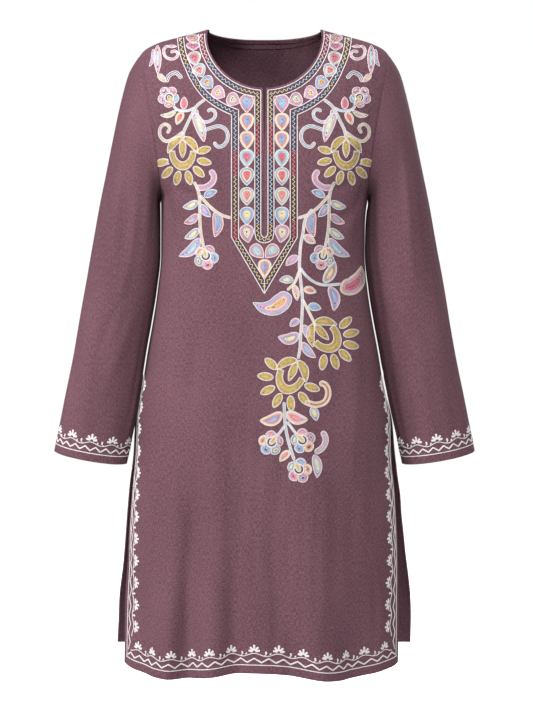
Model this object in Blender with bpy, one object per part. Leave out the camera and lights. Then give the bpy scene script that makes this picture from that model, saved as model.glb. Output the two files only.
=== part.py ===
"""A long-sleeved kurta tunic with a round, slit neck and open side slits, held up as if worn.

The front and back panels, both sleeves and the back neck facing are walls of cloth. Each is
worked out as a grid of points on the garment's outside, from the tables of sections below,
and is given its thickness inwards. Where two pieces are sewn together their edges share one
mitred direction and lie a seam gap apart.

Metres, +Z up. The origin is between the wearer's shoulders, the front faces -Y and the
wearer's left is +X.
"""

import math
from collections import namedtuple

import bmesh
import bpy
import numpy as np

# Cloth and seams
WALL = 0.0015
FACING_WALL = 0.0012
SEAM_GAP = 0.0003
MITRE_LIMIT = 0.5

# Heights on the body
ARMPIT_Z = -0.252
SLIT_TOP_Z = -0.545

# Neck: an oval cut in front, a shallow arc behind, and a slit down the middle of the front
NECK_HALF_WIDTH = 0.0885
NECK_CENTRE_Z = -0.0030
NECK_DROP = 0.0910
NECK_END_ANGLE = math.radians(98.0)
BACK_NECK_Z = 0.0030
NECK_SLIT_ROW = 5
NECK_SLIT_TOP = 0.0048
NECK_SLIT_BOTTOM = 0.0014
FACING_DEPTH = 0.015

# Shoulders
SHOULDER_TIP_X = 0.194
SHOULDER_TIP_Z = -0.031
SHOULDER_ROLL = 0.100
VIRTUAL_NECK_TOP_Z = 0.036

# Cuffs
CUFF_BOW = 0.005
CUFF_BOW_START = 0.80

# How finely each piece is divided
YOKE_ROWS = 12
WAIST_ROWS = 8
SKIRT_ROWS = 11
SHOULDER_COLUMNS = 6
FRONT_NECK_COLUMNS = 8
BACK_NECK_COLUMNS = 6
SLEEVE_ROWS = 18

SLEEVE_ROW_SPACING = 1.15
FACING_SEARCH_STEPS = 30

# Edges sharper than this stay sharp
SHARP_ANGLE = math.radians(50.0)

FRONT, BACK = -1, 1

NECK_POINT_X = NECK_HALF_WIDTH * math.sin(NECK_END_ANGLE)
NECK_POINT_Z = NECK_CENTRE_Z - NECK_DROP * math.cos(NECK_END_ANGLE)

# The whole form, from the hem up: how far it reaches to each side, how deep it is in front
# and behind the shoulder line, and how square its section is (2 is an ellipse)
Section = namedtuple("Section", "z left right front back square")
SECTIONS = (
    Section(-0.985, 0.2165, 0.2165, 0.1280, 0.1250, 2.30),
    Section(-0.880, 0.2120, 0.2120, 0.1265, 0.1245, 2.30),
    Section(-0.760, 0.2060, 0.2060, 0.1250, 0.1235, 2.35),
    Section(-0.660, 0.2010, 0.1980, 0.1235, 0.1225, 2.40),
    Section(-0.600, 0.1965, 0.1935, 0.1225, 0.1210, 2.40),
    Section(-0.566, 0.1924, 0.1890, 0.1215, 0.1195, 2.45),
    Section(-0.545, 0.1890, 0.1845, 0.1210, 0.1185, 2.45),
    Section(-0.489, 0.1805, 0.1752, 0.1195, 0.1145, 2.50),
    Section(-0.442, 0.1722, 0.1665, 0.1178, 0.1095, 2.55),
    Section(-0.395, 0.1648, 0.1590, 0.1162, 0.1045, 2.60),
    Section(-0.340, 0.1592, 0.1535, 0.1160, 0.1015, 2.70),
    Section(-0.295, 0.1592, 0.1545, 0.1180, 0.1025, 2.75),
    Section(-0.252, 0.1600, 0.1600, 0.1205, 0.1060, 2.80),
    Section(-0.235, 0.1660, 0.1660, 0.1212, 0.1070, 2.80),
    Section(-0.197, 0.1830, 0.1830, 0.1207, 0.1070, 2.80),
    Section(-0.142, 0.1990, 0.1990, 0.1160, 0.1030, 2.80),
    Section(-0.085, 0.2080, 0.2080, 0.1050, 0.0940, 2.80),
    Section(-0.034, 0.2150, 0.2150, 0.0930, 0.0840, 2.80),
    Section(0.020, 0.2200, 0.2200, 0.0820, 0.0750, 2.80),
)

# The edges of the two panels below the top of the side slits, where they hang apart: how
# far out and how deep they lie, and how far each panel turns round to its edge, in degrees
SlitEdge = namedtuple(
    "SlitEdge", "z front_left front_right front_y front_turn back_x back_y back_turn"
)
SLIT_EDGES = (
    SlitEdge(-0.985, 0.2156, 0.2044, -0.0290, 79.0, 0.2313, 0.0410, 84.0),
    SlitEdge(-0.880, 0.2149, 0.2053, -0.0260, 80.0, 0.2285, 0.0370, 85.0),
    SlitEdge(-0.800, 0.2113, 0.2066, -0.0220, 82.0, 0.2202, 0.0310, 86.0),
    SlitEdge(-0.720, 0.2062, 0.2023, -0.0160, 85.0, 0.2119, 0.0240, 87.0),
    SlitEdge(-0.660, 0.2018, 0.1963, -0.0110, 87.0, 0.2043, 0.0160, 88.0),
    SlitEdge(-0.600, 0.1978, 0.1942, -0.0050, 89.0, 0.2000, 0.0070, 89.0),
    SlitEdge(-0.545, 0.1890, 0.1845, 0.0000, 90.0, 0.1867, 0.0000, 90.0),
)
SLIT_SETTLING = 4

# The armhole seam seen from the front and from behind: its distance from the middle
Armhole = namedtuple("Armhole", "z front back")
ARMHOLE = (
    Armhole(ARMPIT_Z, 0.1600, 0.1600),
    Armhole(-0.235, 0.1600, 0.1608),
    Armhole(-0.197, 0.1638, 0.1662),
    Armhole(-0.142, 0.1718, 0.1755),
    Armhole(-0.085, 0.1828, 0.1850),
    Armhole(-0.058, 0.1888, 0.1895),
    Armhole(SHOULDER_TIP_Z, SHOULDER_TIP_X, SHOULDER_TIP_X),
)

# The shoulder line, which runs on inside the neck as a guide for the form
Shoulder = namedtuple("Shoulder", "x z")
SHOULDER_LINE = (
    Shoulder(0.0, VIRTUAL_NECK_TOP_Z),
    Shoulder(0.025, VIRTUAL_NECK_TOP_Z),
    Shoulder(0.055, 0.0260),
    Shoulder(NECK_POINT_X, NECK_POINT_Z),
    Shoulder(0.1332, -0.0030),
    Shoulder(0.1619, -0.0112),
    Shoulder(0.1826, -0.0205),
    Shoulder(SHOULDER_TIP_X, SHOULDER_TIP_Z),
)

# The hems, across each panel from one slit to the other
Hem = namedtuple("Hem", "across front back")
HEMS = (
    Hem(-1.00, -0.9700, -0.9490),
    Hem(-0.75, -0.9770, -0.9540),
    Hem(-0.45, -0.9845, -0.9610),
    Hem(-0.02, -0.9730, -0.9580),
    Hem(0.35, -0.9850, -0.9620),
    Hem(0.75, -0.9765, -0.9540),
    Hem(1.00, -0.9700, -0.9490),
)

# The largest hanging folds: each runs down to the hem as a soft ridge or, if its height is
# negative, a trough
Fold = namedtuple("Fold", "panel top_x top_z hem_x height half_width")
FOLDS = (
    Fold(FRONT, -0.118, -0.560, -0.152, 0.0060, 0.017),
    Fold(FRONT, -0.098, -0.600, -0.118, -0.0055, 0.015),
    Fold(FRONT, -0.070, -0.500, -0.080, 0.0050, 0.019),
    Fold(FRONT, -0.040, -0.620, -0.047, -0.0040, 0.016),
    Fold(FRONT, 0.070, -0.520, 0.086, 0.0060, 0.030),
    Fold(FRONT, 0.120, -0.600, 0.142, -0.0055, 0.018),
    Fold(BACK, -0.110, -0.560, -0.140, 0.0060, 0.022),
    Fold(BACK, -0.065, -0.500, -0.075, -0.0055, 0.019),
    Fold(BACK, -0.012, -0.540, -0.018, 0.0060, 0.024),
    Fold(BACK, 0.060, -0.480, 0.078, -0.0060, 0.020),
    Fold(BACK, 0.104, -0.580, 0.136, 0.0060, 0.021),
)
FOLD_FOOT_Z = -0.980
FOLD_ONSET = 1.3
FOLD_TOP_WIDTH = 0.7
FOLD_WIDENING = 0.5

# The sleeve from the armhole to the cuff: the line against the body, the line on the
# outside, the half depth and the middle depth of each ring
Ring = namedtuple("Ring", "along inner_x inner_z outer_x outer_z half_depth mid_y")
SLEEVE = (
    Ring(0.000, 0.1600, -0.2520, 0.1940, -0.0310, 0.0740, 0.0000),
    Ring(0.055, 0.1612, -0.2560, 0.2095, -0.0575, 0.0735, 0.0000),
    Ring(0.110, 0.1613, -0.2610, 0.2220, -0.1010, 0.0730, 0.0000),
    Ring(0.170, 0.1600, -0.2690, 0.2337, -0.1550, 0.0715, 0.0000),
    Ring(0.240, 0.1500, -0.2830, 0.2450, -0.2120, 0.0690, -0.0010),
    Ring(0.310, 0.1500, -0.3080, 0.2550, -0.2630, 0.0665, -0.0020),
    Ring(0.380, 0.1520, -0.3420, 0.2637, -0.3130, 0.0640, -0.0030),
    Ring(0.480, 0.1600, -0.3980, 0.2747, -0.3740, 0.0610, -0.0050),
    Ring(0.620, 0.1740, -0.4760, 0.2885, -0.4550, 0.0560, -0.0080),
    Ring(0.740, 0.1880, -0.5400, 0.2997, -0.5200, 0.0520, -0.0105),
    Ring(0.800, 0.1942, -0.5700, 0.3056, -0.5500, 0.0500, -0.0120),
    Ring(0.900, 0.2044, -0.6160, 0.3150, -0.5970, 0.0470, -0.0140),
    Ring(1.000, 0.2140, -0.6635, 0.3245, -0.6440, 0.0440, -0.0160),
)
SLEEVE_CLEARANCE = 0.0010
CLEARANCE_REACHED = 0.1
HEAD_LENGTH = 0.38

# Soft folds of the sleeves: where they lie round the sleeve (0 is the body side, 90 the
# front), how they turn on their way down, and how high they stand
SleeveFold = namedtuple("SleeveFold", "start end start_angle end_angle height width")
SLEEVE_FOLDS = (
    SleeveFold(0.04, 0.46, 62.0, 44.0, 0.0040, 13.0),
    SleeveFold(0.10, 0.55, 100.0, 78.0, -0.0030, 15.0),
    SleeveFold(0.34, 0.94, 128.0, 112.0, 0.0030, 17.0),
    SleeveFold(0.10, 0.60, 288.0, 304.0, 0.0040, 15.0),
    SleeveFold(0.42, 0.95, 246.0, 258.0, -0.0030, 17.0),
)

PLUM = (0.185, 0.095, 0.120)
PLUM_INSIDE = (0.135, 0.070, 0.090)
CLOTH_ROUGHNESS = 0.90


def through(rows, column, at):
    """The named column where the rows' first column is `at`, on a smooth curve through them."""
    rows = sorted(rows)
    key = np.array([row[0] for row in rows])
    value = np.array([getattr(row, column) for row in rows])
    step = np.diff(key)
    rise = np.diff(value) / step
    before, after = rise[:-1], rise[1:]
    same_way = before * after > 0
    slope = np.concatenate((rise[:1], np.zeros(len(rise) - 1), rise[-1:]))
    slope[1:-1][same_way] = (2 * before * after)[same_way] / (before + after)[same_way]
    at = np.clip(np.asarray(at, float), key[0], key[-1])
    k = np.clip(np.searchsorted(key, at, side="right") - 1, 0, len(step) - 1)
    t = (at - key[k]) / step[k]
    rest = 1 - t
    ends = rest**2 * (1 + 2 * t) * value[k] + t**2 * (3 - 2 * t) * value[k + 1]
    return ends + t * rest * step[k] * (rest * slope[k] - t * slope[k + 1])


def unit(vectors):
    """The vectors with a length of 1."""
    return vectors / np.linalg.norm(vectors, axis=-1, keepdims=True)


def depth_name(panel):
    """The name of the column that belongs to a panel."""
    return "front" if panel == FRONT else "back"


def side_reach(x, z):
    """How far the form reaches at height z, to the side on which x lies."""
    return np.where(x < 0, through(SECTIONS, "left", z), through(SECTIONS, "right", z))


def form_y(panel, x, z):
    """The depth of the form at x and z: square sections that roll over to the shoulder line."""
    square = through(SECTIONS, "square", z)
    across = np.clip(np.abs(x) / side_reach(x, z), 0, 1)
    ridge = through(SHOULDER_LINE, "z", np.abs(x))
    rise = np.clip((z - ridge + SHOULDER_ROLL) / SHOULDER_ROLL, 0, 1)
    depth = through(SECTIONS, depth_name(panel), z)
    return panel * depth * (1 - across**square) ** (1 / square) * np.sqrt(1 - rise**2)


def column_shares(panel):
    """Where the columns lie, from -1 at one side to 1 at the other, and the share at the neck."""
    neck = FRONT_NECK_COLUMNS if panel == FRONT else BACK_NECK_COLUMNS
    half = neck + SHOULDER_COLUMNS
    return np.linspace(-1, 1, 2 * half + 1), neck / half


def top_edge(panel, across, neck_share):
    """The x and z of the neckline and shoulder seams, seen from the front."""
    share = np.abs(across)
    on_neck = np.clip(share / neck_share, 0, 1)
    if panel == FRONT:
        angle = on_neck * NECK_END_ANGLE
        neck_x = NECK_HALF_WIDTH * np.sin(angle)
        neck_z = NECK_CENTRE_Z - NECK_DROP * np.cos(angle)
    else:
        angle = on_neck * math.pi / 2
        neck_x = NECK_POINT_X * np.sin(angle)
        neck_z = NECK_POINT_Z - (NECK_POINT_Z - BACK_NECK_Z) * np.cos(angle)
    on_shoulder = np.clip((share - neck_share) / (1 - neck_share), 0, 1)
    shoulder_x = NECK_POINT_X + on_shoulder * (SHOULDER_TIP_X - NECK_POINT_X)
    x = np.where(share < neck_share, neck_x, shoulder_x)
    z = np.where(share < neck_share, neck_z, through(SHOULDER_LINE, "z", shoulder_x))
    return np.sign(across) * x, z


def yoke(panel, across, up, neck_share):
    """Points between the armpits (up 0) and the neck and shoulder seams (up 1)."""
    eased = (1 - np.cos(math.pi * up)) / 2
    top_x, top_z = top_edge(panel, across, neck_share)
    z = ARMPIT_Z + eased * (top_z - ARMPIT_Z)
    side_z = ARMPIT_Z + eased * (SHOULDER_TIP_Z - ARMPIT_Z)
    side_x = through(ARMHOLE, depth_name(panel), side_z)
    square = through(SECTIONS, "square", ARMPIT_Z)
    low = np.sign(across) * np.sin(np.abs(across) * math.pi / 2) ** (2 / square)
    x = side_x * ((1 - eased) * low + eased * top_x / SHOULDER_TIP_X)
    return np.stack((x, form_y(panel, x, z), z), axis=-1)


def waist(panel, across, z):
    """Points on the closed sections between the armpits and the tops of the side slits."""
    square = through(SECTIONS, "square", z)
    low = np.sign(across) * np.sin(np.abs(across) * math.pi / 2) ** (2 / square)
    x = low * side_reach(across, z)
    return np.stack((x, form_y(panel, x, z), z + 0 * x), axis=-1)


def fold_depth(panel, x, z):
    """How far the hanging folds stand out at x and z."""
    out = np.zeros_like(x)
    for fold in FOLDS:
        if fold.panel != panel:
            continue
        down = np.clip((fold.top_z - z) / (fold.top_z - FOLD_FOOT_Z), 0, 1)
        middle = fold.top_x + down * (fold.hem_x - fold.top_x)
        width = fold.half_width * (FOLD_TOP_WIDTH + FOLD_WIDENING * down)
        out += fold.height * down**FOLD_ONSET * np.exp(-(((x - middle) / width) ** 2))
    return out


def skirt(panel, across, down):
    """Points between the tops of the side slits (down 0) and the hem (down 1)."""
    hem = through(HEMS, depth_name(panel), across)
    z = SLIT_TOP_Z + down * (hem - SLIT_TOP_Z)
    if panel == FRONT:
        left = through(SLIT_EDGES, "front_left", z)
        edge_x = np.where(across < 0, left, through(SLIT_EDGES, "front_right", z))
        edge_y = through(SLIT_EDGES, "front_y", z)
    else:
        seam_x = side_reach(across, SLIT_TOP_Z)
        opened = through(SLIT_EDGES, "back_x", z)
        settling = (1 - down) ** SLIT_SETTLING
        edge_x = opened + settling * (seam_x - SLIT_EDGES[-1].back_x)
        edge_y = through(SLIT_EDGES, "back_y", z)
    turn = np.radians(through(SLIT_EDGES, f"{depth_name(panel)}_turn", z))
    power = 2 / through(SECTIONS, "square", z)
    angle = np.abs(across) * turn
    x = np.sign(across) * edge_x * (np.sin(angle) / np.sin(turn)) ** power
    middle_y = panel * through(SECTIONS, depth_name(panel), z)
    spread = (1 - np.cos(angle) ** power) / (1 - np.cos(turn) ** power)
    y = middle_y + (edge_y - middle_y) * spread + panel * fold_depth(panel, x, z)
    return np.stack((x, y, z), axis=-1)


def neck_band_up(across, neck_share):
    """How far up each back column the facing's lower edge lies, FACING_DEPTH from the neck."""
    low, high = np.full_like(across, 0.5), np.ones_like(across)
    top = yoke(BACK, across, high, neck_share)
    for _ in range(FACING_SEARCH_STEPS):
        middle = (low + high) / 2
        far = np.linalg.norm(yoke(BACK, across, middle, neck_share) - top, axis=-1)
        too_far = far > FACING_DEPTH
        low = np.where(too_far, middle, low)
        high = np.where(too_far, high, middle)
    on_shoulder = np.clip((np.abs(across) - neck_share) / (1 - neck_share), 0, 1)
    last_row = (YOKE_ROWS - 1) / YOKE_ROWS
    return np.where(on_shoulder > 0, low + (last_row - low) * on_shoulder, low)


def panel_points(panel):
    """A panel's outside as rows of points, from the hem to the neck and shoulders."""
    across, neck_share = column_shares(panel)
    rows = [skirt(panel, across, 1 - k / SKIRT_ROWS) for k in range(SKIRT_ROWS)]
    for k in range(WAIST_ROWS):
        z = SLIT_TOP_Z + k / WAIST_ROWS * (ARMPIT_Z - SLIT_TOP_Z)
        rows.append(waist(panel, across, z))
    last_row = np.full_like(across, (YOKE_ROWS - 1) / YOKE_ROWS)
    if panel == BACK:
        last_row = neck_band_up(across, neck_share)
    for k in range(YOKE_ROWS):
        rows.append(yoke(panel, across, k / (YOKE_ROWS - 1) * last_row, neck_share))
    rows.append(yoke(panel, across, np.ones_like(across), neck_share))
    return np.stack(rows)


def grid_normals(points, outward):
    """A unit normal at each point of a grid, on the side that `outward` is the sign of."""
    along_rows = np.gradient(points, axis=0)
    along_columns = np.gradient(points, axis=1)
    return unit(outward * np.cross(along_columns, along_rows))


def mitre(one, other):
    """The direction in which two sewn edges share a wall, a wall's thickness deep in both."""
    return (one + other) / (1 + np.sum(one * other, axis=-1, keepdims=True))


def armhole_loop(front, back, side):
    """The armhole's points from the panels: up the front and down the back."""
    column = -1 if side > 0 else 0
    up_front = front[-1 - YOKE_ROWS :, column]
    up_back = back[-1 - YOKE_ROWS :, column]
    loop = np.concatenate((up_front, up_back[-2::-1]))
    loop[0, 1] = loop[-1, 1] = loop[YOKE_ROWS, 1] = 0.0
    return loop


def plain_ring(along, angle, side):
    """An oval ring at a share of a sleeve's length, just clear of the body; x grows outwards."""
    inner = [through(SLEEVE, name, along) for name in ("inner_x", "inner_z")]
    outer = [through(SLEEVE, name, along) for name in ("outer_x", "outer_z")]
    clear = side_reach(side, inner[1]) + SLEEVE_CLEARANCE * min(1.0, along / CLEARANCE_REACHED)
    inner[0] = max(inner[0], clear)
    from_inner = (1 - np.cos(angle)) / 2
    x = inner[0] + from_inner * (outer[0] - inner[0])
    z = inner[1] + from_inner * (outer[1] - inner[1])
    half_depth = through(SLEEVE, "half_depth", along)
    y = through(SLEEVE, "mid_y", along) - half_depth * np.sin(angle)
    return np.stack((x, y, z), axis=-1)


def sleeve_fold_height(along, angle):
    """How far the sleeve's soft folds stand out at a share of its length and an angle."""
    out = np.zeros_like(angle)
    for fold in SLEEVE_FOLDS:
        share = (along - fold.start) / (fold.end - fold.start)
        if not 0 < share < 1:
            continue
        middle = fold.start_angle + share * (fold.end_angle - fold.start_angle)
        away = (np.degrees(angle) - middle + 180) % 360 - 180
        out += fold.height * math.sin(math.pi * share) * np.exp(-((away / fold.width) ** 2))
    return out


def sleeve_points(loop, side):
    """A sleeve's outside as rings of points, from the armhole loop to the cuff."""
    angle = np.linspace(0, 2 * math.pi, 2 * YOKE_ROWS + 1)
    to_left = np.array((side, 1, 1))
    head = loop * to_left - plain_ring(0.0, angle, side)
    rings = []
    for k in range(SLEEVE_ROWS + 1):
        along = (k / SLEEVE_ROWS) ** SLEEVE_ROW_SPACING
        ring = plain_ring(along, angle, side)
        ring += head * max(0.0, 1 - along / HEAD_LENGTH) ** 2
        middle = ring[:-1].mean(axis=0)
        ring += unit(ring - middle) * sleeve_fold_height(along, angle)[:, None]
        near_cuff = max(0.0, (along - CUFF_BOW_START) / (1 - CUFF_BOW_START))
        ring[:, 2] -= CUFF_BOW * near_cuff**2 * np.sin(angle)
        rings.append(ring * to_left)
    return np.stack(rings)


def tube_normals(rings):
    """A unit normal at each point of a sleeve, away from its middle line."""
    wrapped = np.concatenate((rings[:, -2:-1], rings, rings[:, 1:2]), axis=1)
    across = (wrapped[:, 2:] - wrapped[:, :-2]) / 2
    along = np.gradient(rings, axis=0)
    normal = unit(np.cross(across, along))
    away = rings - rings[:, :-1].mean(axis=1, keepdims=True)
    return normal * np.sign(np.sum(normal * away, axis=-1, keepdims=True))


def cloth_material(name, colour):
    """A matt cloth."""
    material = bpy.data.materials.new(name)
    material.use_nodes = True
    shader = material.node_tree.nodes["Principled BSDF"]
    shader.inputs["Base Color"].default_value = (*colour, 1.0)
    shader.inputs["Roughness"].default_value = CLOTH_ROUGHNESS
    shader.inputs["Metallic"].default_value = 0.0
    material.diffuse_color = (*colour, 1.0)
    return material


def slit_vertices(bm, middle, first_row, numbers, columns):
    """Parts the grid along its middle column above a row; gives each parted vertex its side."""
    def place(vert):
        return divmod(vert[numbers], columns)

    parted = [
        edge
        for edge in bm.edges
        if all(place(v)[1] == middle and place(v)[0] >= first_row for v in edge.verts)
    ]
    bmesh.ops.split_edges(bm, edges=parted)
    sides = {}
    for vert in bm.verts:
        row, column = place(vert)
        if column == middle and row > first_row:
            centre = sum(face.calc_center_median().x for face in vert.link_faces)
            sides[vert] = 1 if centre > 0 else -1
    return sides


def build_wall(name, outer, inward, colour, slit_row=None):
    """Makes a wall of cloth: the outer grid of points, and its copy moved by `inward`."""
    rows, columns = outer.shape[:2]
    bm = bmesh.new()
    bmesh.ops.create_grid(bm, x_segments=columns - 1, y_segments=rows - 1, size=1.0)
    numbers = bm.verts.layers.int.new("number")
    for vert in bm.verts:
        row = round((vert.co.y + 1) / 2 * (rows - 1))
        column = round((vert.co.x + 1) / 2 * (columns - 1))
        vert[numbers] = row * columns + column
    sides = {}
    if slit_row is not None:
        sides = slit_vertices(bm, columns // 2, slit_row, numbers, columns)
    places = outer.reshape(-1, 3)
    for vert in bm.verts:
        vert.co = places[vert[numbers]]
    for vert, side in sides.items():
        share = (vert[numbers] // columns - slit_row) / (rows - 1 - slit_row)
        gap = NECK_SLIT_BOTTOM + share * (NECK_SLIT_TOP - NECK_SLIT_BOTTOM)
        vert.co.x += side * gap / 2
    bmesh.ops.remove_doubles(bm, verts=bm.verts[:], dist=1e-6)
    moves = inward.reshape(-1, 3)
    thick = bmesh.ops.extrude_face_region(bm, geom=bm.faces[:])
    for vert in thick["geom"]:
        if isinstance(vert, bmesh.types.BMVert):
            vert.co = np.array(vert.co) + moves[vert[numbers]]
    bmesh.ops.recalc_face_normals(bm, faces=bm.faces[:])
    mesh = bpy.data.meshes.new(name)
    bm.to_mesh(mesh)
    bm.free()
    mesh.shade_smooth()
    mesh.set_sharp_from_angle(angle=SHARP_ANGLE)
    mesh.materials.append(cloth_material(name, colour))
    bpy.context.scene.collection.objects.link(bpy.data.objects.new(name, mesh))


def part_panels(front, back):
    """Moves the panels half a seam gap apart along the side and shoulder seams."""
    for points, panel in ((front, FRONT), (back, BACK)):
        neck_share = column_shares(panel)[1]
        shoulder = np.abs(column_shares(panel)[0]) >= neck_share - 1e-9
        points[SKIRT_ROWS:, 0, 1] += panel * SEAM_GAP / 2
        points[SKIRT_ROWS:, -1, 1] += panel * SEAM_GAP / 2
        points[-1, 1:-1, 1] += panel * SEAM_GAP / 2 * shoulder[1:-1]


def sew_panels(front_normals, back_normals):
    """Gives the panels' side and shoulder seams their shared directions."""
    for column in (0, -1):
        rows = slice(SKIRT_ROWS, -1)
        shared = mitre(front_normals[rows, column], back_normals[rows, column])
        front_normals[rows, column] = shared
        back_normals[rows, column] = shared
    count = SHOULDER_COLUMNS + 1
    for columns in (slice(0, count), slice(-count, None)):
        shared = mitre(front_normals[-1, columns], back_normals[-1, columns])
        front_normals[-1, columns] = shared
        back_normals[-1, columns] = shared


def sew_armhole(loop, front_normals, back_normals, sleeve_normals, side):
    """Mitres an armhole seam and returns the direction from the panels to the sleeve.

    Over the shoulder the two walls run on into each other and share a direction. Under the
    arm they hang back to back, and each keeps its own.
    """
    column = -1 if side > 0 else 0
    front = front_normals[-1 - YOKE_ROWS :, column]
    back = back_normals[-1 - YOKE_ROWS :, column]
    body = unit(np.concatenate((front, back[-2::-1])))
    sleeve = sleeve_normals[0].copy()
    alike = np.sum(body * sleeve, axis=-1, keepdims=True)
    shared = (body + sleeve) / np.maximum(1 + alike, MITRE_LIMIT)
    weight = np.clip(alike / MITRE_LIMIT, 0, 1)
    sleeve_normals[0] = sleeve + weight * (shared - sleeve)
    body_out = body + weight * (shared - body)
    front[:] = body_out[: YOKE_ROWS + 1]
    back[:] = body_out[: YOKE_ROWS - 1 : -1]
    wrapped = np.concatenate((loop[-2:-1], loop, loop[1:2]))
    onward = unit(np.cross(wrapped[2:] - wrapped[:-2], body + sleeve + 1e-9))
    onward *= np.sign(onward[:, :1] * side)
    return unit((1 + alike) * onward + body - sleeve)


def build_facing(back, back_normals):
    """The back neck facing, on the inside of the back's topmost row of cloth."""
    columns = slice(SHOULDER_COLUMNS, -SHOULDER_COLUMNS)
    inside = back[-2:, columns] - back_normals[-2:, columns] * (WALL + SEAM_GAP)
    inward = -back_normals[-2:, columns] * FACING_WALL
    build_wall("back_neck_facing", inside, inward, PLUM_INSIDE)


def main():
    """Builds the tunic."""
    for old in list(bpy.data.objects):
        bpy.data.objects.remove(old, do_unlink=True)
    front, back = panel_points(FRONT), panel_points(BACK)
    front_normals = grid_normals(front, 1)
    back_normals = grid_normals(back, -1)
    sew_panels(front_normals, back_normals)
    for side, name in ((1, "left_sleeve"), (-1, "right_sleeve")):
        loop = armhole_loop(front, back, side)
        rings = sleeve_points(loop, side)
        normals = tube_normals(rings)
        onward = sew_armhole(loop, front_normals, back_normals, normals, side)
        rings[0] += SEAM_GAP * onward
        build_wall(name, rings, -WALL * normals, PLUM)
    part_panels(front, back)
    slit_row = SKIRT_ROWS + WAIST_ROWS + NECK_SLIT_ROW
    build_wall("front_panel", front, -WALL * front_normals, PLUM, slit_row)
    build_wall("back_panel", back, -WALL * back_normals, PLUM)
    build_facing(back, back_normals)


main()
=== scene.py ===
"""A plum kurta tunic with an embroidered front, held up as if worn.

The panels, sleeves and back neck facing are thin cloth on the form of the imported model, with
their folds and creases. The embroidery is sewn thread by thread: each motif is drawn on a
chart of the front, laid on the cloth and stitched in rows of thread.

Metres, +Z up. The front faces -Y and the wearer's left is +X.
"""

from __future__ import annotations

import logging
import math
import sys
from dataclasses import dataclass, field
from enum import Enum
from typing import Callable, NamedTuple, Sequence

import bmesh
import bpy
import numpy as np
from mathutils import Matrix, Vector
from mathutils.bvhtree import BVHTree


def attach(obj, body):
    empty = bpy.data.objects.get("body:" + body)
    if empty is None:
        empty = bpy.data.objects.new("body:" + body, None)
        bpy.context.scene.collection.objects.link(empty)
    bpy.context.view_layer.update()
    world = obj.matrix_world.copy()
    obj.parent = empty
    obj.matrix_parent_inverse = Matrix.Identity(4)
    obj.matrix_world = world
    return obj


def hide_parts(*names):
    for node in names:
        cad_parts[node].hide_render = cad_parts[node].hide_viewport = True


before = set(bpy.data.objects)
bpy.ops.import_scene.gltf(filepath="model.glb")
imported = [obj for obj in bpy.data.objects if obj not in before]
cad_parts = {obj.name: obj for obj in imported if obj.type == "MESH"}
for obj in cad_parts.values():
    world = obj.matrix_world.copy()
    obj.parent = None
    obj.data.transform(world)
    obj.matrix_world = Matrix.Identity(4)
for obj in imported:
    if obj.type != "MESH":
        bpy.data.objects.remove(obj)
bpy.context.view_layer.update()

log = logging.getLogger("tunic")

EYE = Vector((0.003116, -3.2, -0.497))
LENS = 103.996
CHART_SQUARE = 0.0015
CHART_Y = -0.11


class Panel(Enum):
    """The two large pieces of cloth, named by the way that they face along Y."""

    FRONT = -1
    BACK = 1

    @property
    def column(self) -> str:
        """The name of the column that belongs to this panel in a table."""
        return self.name.lower()


class Side(Enum):
    """The wearer's left and right, named by the way that they lie along X."""

    LEFT = 1
    RIGHT = -1


class Section(NamedTuple):
    """One level of the whole form: its reach, its depths and how square it is."""

    z: float
    left: float
    right: float
    front: float
    back: float
    square: float


class SlitEdge(NamedTuple):
    """Where the panels' edges hang beside the side slits, and how far they turn round."""

    z: float
    front_left: float
    front_right: float
    front_y: float
    front_turn: float
    back_x: float
    back_y: float
    back_turn: float


class Armhole(NamedTuple):
    """How far the armhole seam lies from the middle."""

    z: float
    front: float
    back: float


class Shoulder(NamedTuple):
    """A point of the shoulder line."""

    x: float
    z: float


class Hem(NamedTuple):
    """The height of the hems at a share of the way across."""

    across: float
    front: float
    back: float


class Fold(NamedTuple):
    """A hanging fold, a ridge or (below nothing) a trough, that grows down to the hem."""

    panel: Panel
    top_x: float
    top_z: float
    hem_x: float
    height: float
    half_width: float


class Crease(NamedTuple):
    """A soft ridge or trough of a panel from one place to another, seen from the front."""

    x0: float
    z0: float
    x1: float
    z1: float
    bow: float
    height: float
    width: float


class Ring(NamedTuple):
    """One ring of a sleeve, from the line against the body to the line on the outside."""

    along: float
    inner_x: float
    inner_z: float
    outer_x: float
    outer_z: float
    half_depth: float
    mid_y: float


class SleeveFold(NamedTuple):
    """A soft fold of a sleeve: its share of the length, its angles, its height and width."""

    start: float
    end: float
    start_angle: float
    end_angle: float
    height: float
    width: float


NECK_END_ANGLE = math.radians(98.0)
NECK_HALF_WIDTH = 0.0885
NECK_CENTRE_Z = -0.0030
NECK_DROP = 0.0910
NECK_POINT_X = NECK_HALF_WIDTH * math.sin(NECK_END_ANGLE)
NECK_POINT_Z = NECK_CENTRE_Z - NECK_DROP * math.cos(NECK_END_ANGLE)
ARMPIT_Z = -0.252
SLIT_TOP_Z = -0.545
SHOULDER_TIP_X = 0.194
SHOULDER_TIP_Z = -0.031
VIRTUAL_NECK_TOP_Z = 0.036

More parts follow.
